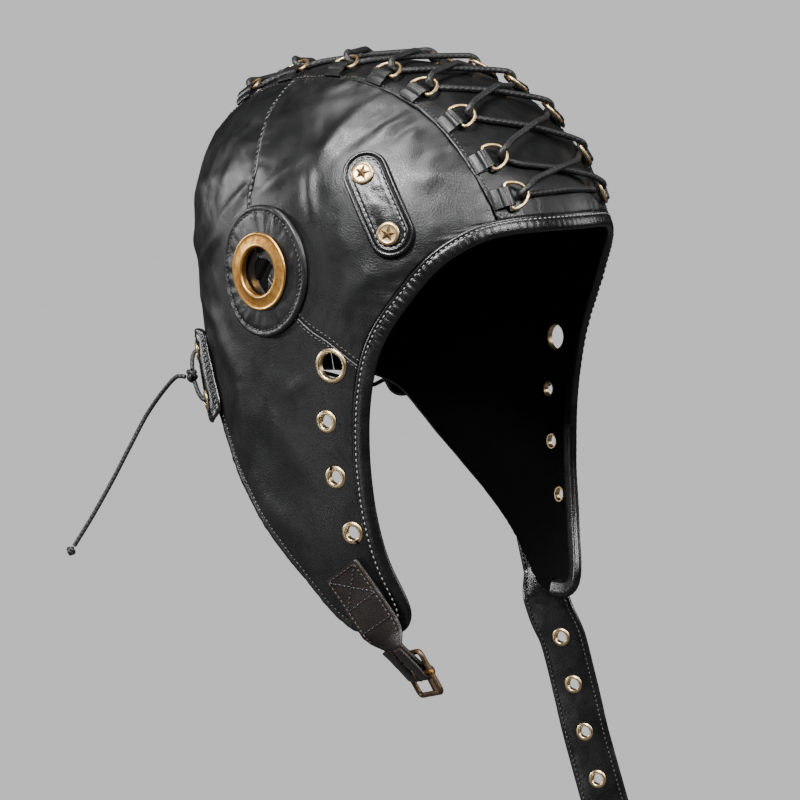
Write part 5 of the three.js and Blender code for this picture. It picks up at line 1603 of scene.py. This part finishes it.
for name, side in SIDES:
    frame = back_tab_frame(side)
    plan = pill_plan(*BACK_TAB_SIZE, [0, 0.12, 0.35, 0.7, 1.2, 1.8, 2.5, 3.2, 4.0, 5.0, 6.2, 7.5], 20, 24)
    flat = in_frame(frame, np.concatenate([plan, 0 * plan[..., :1]], -1))
    insets = np.array([0, 0.12, 0.35, 0.7, 1.2, 1.8, 2.5, 3.2, 4.0, 5.0, 6.2, 7.5])
    d = np.broadcast_to(insets[:, None], flat.shape[:2])
    outward = -side * plan[..., 1]
    lift = BACK_TAB_LIFT * np.clip((5.6 - outward) / 3.6, 0, 1) ** 0.7
    base = over_skin(flat, frame[1][2], 0.0)
    normals = skin_normal(base)
    top = GAP + LEATHER + lift - 1.0 * np.clip(1 - d / 0.7, 0, 1) ** 2 + ditch(d, 2.5, 0.5)
    top += 0.06 * hills(base, 9, 71)
    laid = base + normals * top[..., None]
    tab = piece_from_grid(f"back_tab_{name}_leather", laid, trim_leather)
    face_out(tab, skin_normal)
    mark_edge(tab, np.exp(-d / 0.5))
    merge_doubles(tab)
    long = frame[1][0]
    frames = []
    for end in (-1, 1):
        place = over_back_tab(side, end * BACK_EYELET_SPACING / 2, -1.5, BACK_TAB_TOP)
        frames.append((place, skin_frame(place, long)))
    punch(tab, frames, BACK_EYELET[1] / 2 + EYELET_WALL + GAP)
    apply(tab, "SOLIDIFY", thickness=LEATHER * 0.95 * MM, offset=-1)
    smooth(tab, 60)
    finish_piece(tab, [f"back_tab_{name}"])
    for level, at in zip(("upper", "lower"), frames):
        eyelet(f"back_eyelet_{name}_{level}_ring", at, *BACK_EYELET, LEATHER - GAP)
    side_tabs["back", name] = dict(laid=laid, normals=normals, insets=d[:, 0])
print("back tabs in place")

# %% Build the back lace
UNDER_TAB = GAP + BACK_LACE / 2 + 0.3
OVER_TAB = BACK_TAB_TOP + 0.9 + GAP + BACK_LACE / 2 + 0.5


def back_lace_route():
    half = BACK_EYELET_SPACING / 2

    def at(side, end, off):
        return over_back_tab(side, end * half, -1.5, off)

    def beside(side, end, out, off):
        return over_back_tab(side, end * half, out, off)

    def nape(share, start, end, off):
        place = start + share * (end - start)
        return on_back(place[0], place[2], off)

    first, second = at(-1, -1, 0), at(1, 1, 0)
    third, last = at(1, -1, 0), at(-1, 1, 0)
    return [
        over_back_tab(-1, -3, -1.5, OVER_TAB + 1), over_back_tab(-1, -8, -1.5, OVER_TAB + 0.4),
        at(-1, -1, OVER_TAB - 1.2), at(-1, -1, UNDER_TAB + 1.2),
        beside(-1, -1, -4.5, UNDER_TAB), beside(-1, -1, -12, UNDER_TAB),
        *[nape(t, first, second, 2.0) for t in (0.2, 0.28, 0.36, 0.44, 0.52, 0.6)],
        nape(0.7, first, second, 3.6),
        beside(1, 1, -12.5, OVER_TAB - 1.4), beside(1, 1, -7, OVER_TAB),
        at(1, 1, OVER_TAB - 1.2), at(1, 1, UNDER_TAB + 1.2),
        over_back_tab(1, 8, -1.5, UNDER_TAB), over_back_tab(1, -8, -1.5, UNDER_TAB),
        at(1, -1, UNDER_TAB + 1.2), at(1, -1, OVER_TAB - 1.2),
        beside(1, -1, -7, OVER_TAB), beside(1, -1, -12.5, OVER_TAB - 0.6),
        *[nape(t, third, last, 5.2) for t in (0.25, 0.37, 0.5)],
        *[nape(t, third, last, 2.4) for t in (0.6, 0.7, 0.78)],
        beside(-1, 1, -12, UNDER_TAB), beside(-1, 1, -4.5, UNDER_TAB),
        at(-1, 1, UNDER_TAB + 1.2), at(-1, 1, OVER_TAB - 1.2),
        over_back_tab(-1, 8, -1.5, OVER_TAB + 0.4), over_back_tab(-1, 3, -1.5, OVER_TAB + 1),
    ]


def knotted(name, centre, size, axes, thick):
    """A small overhand knot: a short cord wound twice round itself."""
    turns = np.linspace(0, 4 * np.pi, 56)
    r = (size - thick) / 2 * (0.8 + 0.2 * np.cos(1.5 * turns))
    rise = 0.32 * (size - thick) * np.sin(1.5 * turns + 0.6)
    path = np.stack([r * np.cos(turns), r * np.sin(turns), rise], -1)
    return tube(name, in_frame((centre, axes), path), thick / 2, 10, black_cord)


back_lace = tube("back_lace_cord", eased(back_lace_route(), 0.7, 6), BACK_LACE / 2, 10, black_cord, lay=2.8)
back_knot_at = over_back_tab(-1, 0, -1.5, OVER_TAB + 1.6)
knot = knotted("back_knot", back_knot_at, 6.5, back_tab_frame(-1)[1], BACK_LACE + 0.2)
only(back_lace)
knot.select_set(True)
bpy.ops.object.join()
finish_piece(back_lace, ["back_lace"])
print("back lace tied")

# %% The tail of the back lace
TAIL_ROUTE = np.array([
    [-70.6, 83.3, -155.0], [-77.6, 89.5, -171.5], [-84.0, 95.0, -187.0], [-91.2, 101.1, -203.0],
    [-97.5, 106.6, -216.0],
])
leave_knot = TAIL_ROUTE[0] - back_knot_at
leave_knot[2] = -4
leave_knot = unit(leave_knot)
tail_start = back_knot_at + leave_knot * (6.5 / 2 + GAP)
tail_line = smooth_line(np.vstack([tail_start, tail_start + leave_knot * 6, TAIL_ROUTE]), 2.0)
tail = tube("lace_tail_cord", tail_line, BACK_LACE / 2, 10, black_cord, lay=2.8)
tail_end = TAIL_ROUTE[-1] + unit(tail_line[-1] - tail_line[-2]) * (4.6 / 2 + GAP)
tail_tip = knotted("tail_knot_cord", tail_end, 4.6, skin_frame(tail_end, np.array([0.0, 0, 1])), BACK_LACE)
finish_piece(tail, ["lace_tail"])
finish_piece(tail_tip, ["tail_knot"])

# %% [markdown]
# ## Straps
#
# A strap is a flat section carried along a line, with a crowned face, rounded edges and slight waves. The
# chin strap leaves the left flap, hangs free and ends in a tapered tip. The short strap on the right flap
# is folded round the buckle's bar and sewn back on itself.

# %% A helper for straps
def strap_section(half_width, thickness, crown=0.25):
    """Points round a flat section with rounded edges: across and out."""
    t = thickness / 2
    top = [(-1, 0), (-0.985, 0.55), (-0.94, 0.86), (-0.86, 0.98), (-0.8, 0.93), (-0.74, 0.99)]
    inner = [(x, 1 + crown * (1 - x * x) / t) for x in np.linspace(-0.6, 0.6, 9)]
    upper = top + inner + [(-x, y) for x, y in top[::-1]]
    lower = [(x, -y) for x, y in [(0.94, 0.86), (0.7, 1), (0.2, 1), (-0.2, 1), (-0.7, 1), (-0.94, 0.86)]]
    return np.array([(x * half_width, y * t) for x, y in upper + lower])


def strap(name, line, outs, half_widths, thickness, material, seed, wave=0.35):
    """A strap along a line, with its out direction and half width at each place."""
    ahead = unit(np.gradient(line, axis=0))
    outs = unit(outs - np.sum(outs * ahead, -1, keepdims=True) * ahead)
    cross = np.cross(outs, ahead)
    section = strap_section(1.0, thickness)
    section = np.vstack([section, section[:1]])
    along = lengths_along(line)
    spots = np.stack([
        np.broadcast_to(along[:, None] / 16, (len(line), len(section))),
        section[None, :, 0] * half_widths[:, None] / 16,
        np.full((len(line), len(section)), seed)], -1)
    ripple = wave * hills(spots, 1, seed) + 0.12 * hills(spots * 3.4, 1, seed + 1)
    places = (line[:, None] + cross[:, None] * (section[None, :, :1] * half_widths[:, None, None])
              + outs[:, None] * (section[None, :, 1:] + ripple[..., None]))
    piece = piece_from_grid(name, places, material)
    rub = np.exp(-(1 - np.abs(section[:, 0])) * 12)
    mark_edge(piece, np.broadcast_to(rub, places.shape[:2]))
    merge_doubles(piece)
    in_edit(piece, lambda: bpy.ops.mesh.select_all(action="DESELECT"),
            lambda: bpy.ops.mesh.select_non_manifold(), lambda: bpy.ops.mesh.edge_face_add())
    in_edit(piece, lambda: bpy.ops.mesh.normals_make_consistent(inside=False))
    smooth(piece, 55)
    return piece, dict(line=line, cross=cross, outs=outs, half=half_widths, ripple=ripple, section=section)


def strap_place(forward, height):
    return -CROWN_SETBACK - forward * FRONT_REACH, height - FLAP_DROP


# %% Build the chin strap
STRAP_LEATHER = 2.2
CHIN_STRAP_WIDTH = 23.0
# Forward, height over the flap tip, and height off the skin, where it is sewn
CHIN_SEWN = [(0.10, 33, 1.6), (0.15, 22, 1.6), (0.20, 10, 2.0), (0.24, 0, 2.6)]
# Out, forward and height where it hangs free
CHIN_FREE = [
    (0.818, 0.285, -10.0), (0.836, 0.336, -21.2), (0.855, 0.392, -43.5),
    (0.867, 0.450, -66.0), (0.879, 0.515, -87.3), (0.891, 0.575, -106.0),
]
CHIN_TIP = 24.0
CHIN_FIRST_EYELET = 11.0
CHIN_EYELET_PITCH = 22.5
STRAP_EYELET = (8.6, 5.0)
chin_sewn = np.array([on_side(1, *strap_place(f, h), off) for f, h, off in CHIN_SEWN])
chin_free = np.array([(out * HALF_WIDTH, *strap_place(f, h)) for out, f, h in CHIN_FREE])
tip_way = unit(chin_free[-1] - chin_free[-2])
chin_line = smooth_line(np.vstack([chin_sewn, chin_free, chin_free[-1] + tip_way * CHIN_TIP]), 0.9)
chin_facing = unit(np.array([0.95, 0.3, 0]))
sewn_share = np.clip((chin_line[:, 2] - chin_sewn[-1, 2]) / 12, 0, 1)[:, None]
chin_outs = sewn_share * skin_normal(chin_line) + (1 - sewn_share) * chin_facing
to_tip = lengths_along(chin_line)[-1] - lengths_along(chin_line)
tip_shape = np.sqrt(np.clip(to_tip / (0.62 * CHIN_TIP), 0, 1))
chin_half = CHIN_STRAP_WIDTH / 2 * np.maximum(tip_shape, 0.06)
chin, chin_map = strap(
    "chin_strap_leather", chin_line, -chin_outs, chin_half, STRAP_LEATHER, trim_leather, 81, 0.5)
chin_eyelets = []
for k in range(4):
    place = at_length(chin_free, CHIN_FIRST_EYELET + k * CHIN_EYELET_PITCH)
    nearest = np.argmin(np.linalg.norm(chin_line - place, axis=1))
    out = chin_map["outs"][nearest]
    way = unit(chin_line[nearest + 1] - chin_line[nearest - 1])
    chin_eyelets.append((place + out * STRAP_LEATHER / 2, (way, np.cross(out, way), out)))
drill(chin, chin_eyelets, STRAP_EYELET[1] / 2 + EYELET_WALL + GAP)
finish_piece(chin, ["chin_strap"])
for k, frame in enumerate(chin_eyelets, 1):
    eyelet(f"strap_eyelet_{k}_ring", lifted(frame, 0.1), *STRAP_EYELET, STRAP_LEATHER + GAP)
print("chin strap of", round(lengths_along(chin_line)[-1]), "mm")

# %% Build the buckle strap
BUCKLE_STRAP_WIDTH = 21.0
FOLD_LEATHER = 1.6
FOLD_LENGTH = 17.0
BUCKLE_WIRE = 2.4
BUCKLE_INNER_WIDTH = 22.4
BUCKLE_HALF_LENGTH = 10.0
BUCKLE_TILT = math.radians(17)
PRONG_WIDTH = 2.6
PRONG_THICK = 1.7
BUCKLE_SEWN = [(0.248, 29.5, 1.6), (0.306, 20.5, 1.7), (0.360, 12.5, 3.0), (0.408, 5.0, 4.2)]
buckle_sewn = np.array([on_side(-1, *strap_place(f, h), off) for f, h, off in BUCKLE_SEWN])
buckle_bar = np.array([-0.6606 * HALF_WIDTH, *strap_place(0.528, -15.5)])
buckle_ahead = unit(np.array([0.51, -0.465, -0.72]))
buckle_out = np.array([0.785, -0.24, 0.57])
buckle_out = unit(buckle_out - np.dot(buckle_out, buckle_ahead) * buckle_ahead)
buckle_axes = (buckle_ahead, np.cross(buckle_out, buckle_ahead), buckle_out)
buckle_frame_at = (buckle_bar, buckle_axes)
fold_start = buckle_bar - buckle_ahead * FOLD_LENGTH
turned_at = (buckle_sewn[-1] + fold_start) / 2
buckle_line = smooth_line(np.vstack([buckle_sewn, turned_at, fold_start, fold_start + buckle_ahead * 6]), 0.7)
sewn_axes = skin_normal(buckle_sewn)
key_outs = np.vstack([sewn_axes, unit(0.65 * sewn_axes[-1] - 0.35 * buckle_out), -buckle_out, -buckle_out])
key_points = np.vstack([buckle_sewn, turned_at, fold_start, fold_start + buckle_ahead * 6])
key_lengths = lengths_along(key_points)
along_keys = lengths_along(buckle_line) / lengths_along(buckle_line)[-1] * key_lengths[-1]
buckle_outs = np.stack([np.interp(along_keys, key_lengths, key_outs[:, k]) for k in range(3)], -1)
end_shape = np.minimum(1, 0.93 + 0.07 * np.minimum(lengths_along(buckle_line) / 1.2, 1))
body, buckle_map = strap("buckle_strap_leather", buckle_line, buckle_outs,
                         BUCKLE_STRAP_WIDTH / 2 * end_shape, STRAP_LEATHER, brown_leather, 85, 0.22)
eye = BUCKLE_WIRE / 2 + HINGE_CLEARANCE
middle = eye + FOLD_LEATHER / 2
turns = np.linspace(-0.6 * np.pi, 0.6 * np.pi, 22)
under = -STRAP_LEATHER / 2 - FOLD_LEATHER / 2
fold_line = np.vstack([
    [[-FOLD_LENGTH + 1, under], [-6, under]],
    np.stack([middle * np.cos(turns), middle * np.sin(turns)], -1), [[-5.5, 0.35], [-11, 0.0]],
])
fold_line = eased(np.hstack([fold_line, 0 * fold_line[:, :1]]), 0.45, 3)[:, :2]
gap = PRONG_WIDTH / 2 + 2 * GAP
half_fold = (BUCKLE_STRAP_WIDTH / 2 - gap) / 2
for k in (-1, 1):
    offset = k * (gap + half_fold)
    beside = np.full(len(fold_line), float(offset))
    line = in_frame(buckle_frame_at, np.stack([fold_line[:, 0], beside, fold_line[:, 1]], -1))
    turn = np.gradient(fold_line, axis=0)
    out_flat = unit(np.stack([turn[:, 1], -turn[:, 0]], -1))
    outs = out_flat[:, :1] * buckle_ahead + out_flat[:, 1:] * buckle_out
    half = np.full(len(line), half_fold)
    fold, _ = strap(f"fold_{k}", line, outs, half, FOLD_LEATHER, brown_leather, 87 + k, 0.08)
    only(body)
    fold.select_set(True)
    bpy.ops.object.join()
finish_piece(body, ["buckle_strap"])
print("buckle strap folded")

# %% [markdown]
# ## The buckle
#
# The frame is one bent wire with rounded corners, and a bar across its middle that the strap is folded
# round. The prong is a flat strip curled round the same bar. Frame and prong each ride their own body.

# %% Build the buckle
ct, st = math.cos(BUCKLE_TILT), math.sin(BUCKLE_TILT)
tilted_axes = (ct * buckle_ahead - st * buckle_out, buckle_axes[1], st * buckle_ahead + ct * buckle_out)
tilted = (buckle_bar, tilted_axes)
wide = (BUCKLE_INNER_WIDTH + BUCKLE_WIRE) / 2
far = BUCKLE_HALF_LENGTH
corner_turns = np.radians(np.linspace(0, 90, 8))
corner = 2.2
corner_at = np.array([far - corner, wide - corner])
quarter = corner_at + corner * np.stack([np.cos(corner_turns), np.sin(corner_turns)], -1)
loop = np.vstack([quarter, (quarter * [-1, 1])[::-1], quarter * -1, (quarter * [1, -1])[::-1]])
loop = resample(np.vstack([loop, loop[:1]]), count=120)[:-1]
frame_line = in_frame(tilted, np.hstack([loop, 0 * loop[:, :1]]))
frame_piece = tube("buckle_frame_wire", frame_line, BUCKLE_WIRE / 2, 14, blackened, closed=True)
span = wide + BUCKLE_WIRE / 2 + 1.0
bar_line = np.linspace(-span, span, 24)
bar_radius = BUCKLE_WIRE / 2 * np.sqrt(np.clip((span - np.abs(bar_line)) / 0.6, 0.2, 1))
bar_places = in_frame(tilted, np.stack([0 * bar_line, bar_line, 0 * bar_line], -1))
bar = tube("bar", bar_places, bar_radius, 14, antique_brass)
only(frame_piece)
bar.select_set(True)
bpy.ops.object.join()
finish_piece(frame_piece, ["buckle_frame"], body="buckle")

prong_round = BUCKLE_WIRE / 2 + HINGE_CLEARANCE + PRONG_THICK / 2
rest = BUCKLE_WIRE / 2 + GAP + PRONG_THICK / 2
turns = np.linspace(1.92 * np.pi, 0.32 * np.pi, 26)
curl = np.stack([prong_round * np.cos(turns), prong_round * np.sin(turns)], -1)
prong_line = np.vstack([curl, [[prong_round + 1.0, rest + 0.35], [far - 1, rest], [far + 1.7, rest - 0.05]]])
prong_line = eased(np.hstack([prong_line, 0 * prong_line[:, :1]]), 0.4, 3)[:, :2]
line = in_frame(tilted, np.stack([prong_line[:, 0], 0 * prong_line[:, 0], prong_line[:, 1]], -1))
turn = np.gradient(prong_line, axis=0)
outs_flat = unit(np.stack([-turn[:, 1], turn[:, 0]], -1))
outs = outs_flat[:, :1] * tilted_axes[0] + outs_flat[:, 1:] * tilted_axes[2]
left = lengths_along(line)[-1] - lengths_along(line)
half_prong = PRONG_WIDTH / 2 * np.sqrt(np.clip(left / 1.2, 0.12, 1))
prong, _ = strap("buckle_prong_pin", line, outs, half_prong, PRONG_THICK, blackened, 91, 0.0)
finish_piece(prong, ["buckle_prong"], body="prong")
print("buckle and prong ready")

# %% [markdown]
# ## Stitches
#
# Every seam is sewn with waxed thread, and its small bright dashes are what makes the cap look sewn. One
# stitch is a low capsule of a few dozen faces. It is copied along rails, which are lines of places on the
# finished leather, and each run of stitches becomes one mesh.

# %% Sew along rails
bpy.ops.object.select_all(action="DESELECT")
bpy.ops.mesh.primitive_uv_sphere_add(segments=6, ring_count=4, radius=1)
one_stitch = bpy.context.object
stitch_points = np.array([v.co[:] for v in one_stitch.data.vertices])
stitch_faces = [tuple(p.vertices) for p in one_stitch.data.polygons]
bpy.data.objects.remove(one_stitch, do_unlink=True)


def stitches(name, rails, pitch=2.2, length=1.6, radius=0.34, slant=0.0,
             thread=None, body="cap"):
    """Copies the stitch along rails, which are pairs of places and normals in millimetres."""
    points, count = [], 0
    for places, normals in rails:
        along = lengths_along(places)
        number = max(int(along[-1] / pitch), 1)
        spots = (np.arange(number) + 0.5) * along[-1] / number
        centre = at_length(places, spots)
        ahead = unit(at_length(places, spots + 0.3) - at_length(places, spots - 0.3))
        out = unit(np.stack([np.interp(spots, along, normals[:, k]) for k in range(3)], -1))
        cross = unit(np.cross(out, ahead))
        ahead = math.cos(slant) * ahead + math.sin(slant) * cross
        cross = np.cross(out, ahead)
        shape = stitch_points * [radius, radius, length / 2]
        points.append(centre[:, None] + shape[None, :, 2:] * ahead[:, None]
                      + shape[None, :, :1] * cross[:, None] + shape[None, :, 1:2] * out[:, None])
        count += number
    flat = np.concatenate(points).reshape(-1, 3) * MM
    faces = [tuple(i + k * len(stitch_points) for i in face) for k in range(count) for face in stitch_faces]
    mesh = bpy.data.meshes.new(name)
    mesh.from_pydata(flat.tolist(), [], faces)
    mesh.materials.append(thread or black_thread)
    run = bpy.data.objects.new(name, mesh)
    bpy.context.collection.objects.link(run)
    in_edit(run, lambda: bpy.ops.mesh.normals_make_consistent(inside=False))
    only(run)
    bpy.ops.object.shade_smooth()
    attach(run, body)
    print(name, count, "stitches")
    return run


def level_line(laid, normals, field, level):
    """Places where a field that grows down each column passes a level."""
    places, ways = [], []
    for c in range(laid.shape[1]):
        column = field[:, c]
        k = int(np.argmax(column >= level))
        if column[k] < level or k == 0:
            continue
        t = (level - column[k - 1]) / (column[k] - column[k - 1] + 1e-9)
        places.append(laid[k - 1, c] + t * (laid[k, c] - laid[k - 1, c]))
        ways.append(normals[k, c])
    return np.array(places), np.array(ways)


def lift_rail(rail, height=0.1):
    places, normals = rail
    return places + normals * height, normals


# %% Stitch the panels and flaps
def seam_rail(patch, end, distance):
    """Places beside the first or last spoke of a web at a distance over the skin."""
    field = patch["seams"][0 if end == 0 else 1]
    order = slice(None) if end == 0 else slice(None, None, -1)
    grids = (np.swapaxes(a[:, order], 0, 1) for a in (patch["laid"], patch["normals"], field))
    return level_line(*grids, distance)


for name, side in SIDES:
    front, flap_web = webs["side", name], webs["flap", name]
    hem = (flap_web["along"] > HEM_START + 2) & (flap_web["along"] < HEM_END - 2)
    hem_rail = level_line(*(flap_web[key][:, hem] for key in ("laid", "normals", "from_border")), 4.1)
    stitches(f"hem_stitches_{name}", [lift_rail(hem_rail, 0.1)])
    upright = [lift_rail(seam_rail(flap_web, -1, 0.9), 0.2)]
    stitches(f"upright_stitches_{name}", upright, pitch=2.9, length=2.3, radius=0.5, slant=0.4 * side)
    slanted = [lift_rail(seam_rail(flap_web, 0, 1.8)), lift_rail(seam_rail(front, -1, 1.8))]
    stitches(f"slanted_stitches_{name}", slanted)
    ring = patches[name]
    round_rail = level_line(ring["skin"], ring["normals"], ring["from_edge"], 3.2)
    stitches(f"ear_stitches_{name}", [lift_rail(round_rail, 0.15)],
             pitch=2.3, length=1.5, radius=0.36)
    # The side tabs' stitches take the lighter thread, a painted highlight.
    for key, at, thread in ((name, 4.1, lit_thread), (("back", name), 2.5, None)):
        tab = side_tabs[key]
        field = np.broadcast_to(tab["insets"][:, None], tab["laid"].shape[:2])
        label = "back_tab" if isinstance(key, tuple) else "side_tab"
        tab_rail = level_line(tab["laid"], tab["normals"], field, at)
        stitches(f"{label}_stitches_{name}", [lift_rail(tab_rail, 0.12)],
                 pitch=2.5, length=1.9, radius=0.38, thread=thread)

# %% Stitch the strip, the binding and the straps
edge_rails = []
for field, columns in ((from_left, slice(None)), (from_right, slice(None, None, -1))):
    laid, normals = (np.swapaxes(a[:, columns], 0, 1) for a in (strip_laid, strip_normals))
    edge_rails.append(lift_rail(level_line(laid, normals, np.swapaxes(field[:, columns], 0, 1), 2.0)))
stitches("strip_stitches", edge_rails)
binding_rail = walk_in(front_rail, np.full(len(front_rail), INWARD * 5.6), np.full(len(front_rail), 0.72))
# The binding's stitches take the lighter thread, a painted highlight.
stitches("binding_stitches", [(binding_rail, skin_normal(front_rail))],
         pitch=2.5, length=1.5, radius=0.33, thread=lit_thread)


def strap_rail(map_of, across, start, end, out=1):
    """A line along a strap at a share of its half width, between two shares of its length."""
    along = lengths_along(map_of["line"])
    keep = (along >= start * along[-1]) & (along <= end * along[-1])
    places = map_of["line"] + map_of["cross"] * (across * map_of["half"])[:, None]
    places = places + map_of["outs"] * out * (STRAP_LEATHER / 2 + 0.3)
    return places[keep], (map_of["outs"] * out)[keep]


stitches("chin_strap_stitches", [strap_rail(chin_map, k, 0.02, 0.9) for k in (-0.8, 0.8)])
box = [strap_rail(buckle_map, k, 0.03, 0.98) for k in (-0.8, 0.8)]
# The edge stitches take the paler thread, a painted highlight.
stitches("buckle_strap_stitches", box, radius=0.3, length=1.6, thread=pale_thread)


def strap_cross(map_of, from_across, to_across, start, end):
    """A line of stitches that runs slantwise over a strap."""
    rails = [strap_rail(map_of, across, start, end) for across in (from_across, to_across)]
    share = np.linspace(0, 1, len(rails[0][0]))[:, None]
    return rails[0][0] * (1 - share) + rails[1][0] * share, rails[0][1]


box_ends = [0.03, 0.36]
crossed = [strap_cross(buckle_map, a, -a, *box_ends) for a in (-0.8, 0.8)]
for level in (0.03, 0.36, 0.62):
    ends = [strap_rail(buckle_map, a, level, level + 0.02) for a in (-0.8, 0.8)]
    share = np.linspace(0, 1, 12)[:, None]
    crossed.append((ends[0][0][0] * (1 - share) + ends[1][0][0] * share, np.repeat(ends[0][1][:1], 12, 0)))
stitches("buckle_strap_box", crossed, radius=0.34, length=1.9)
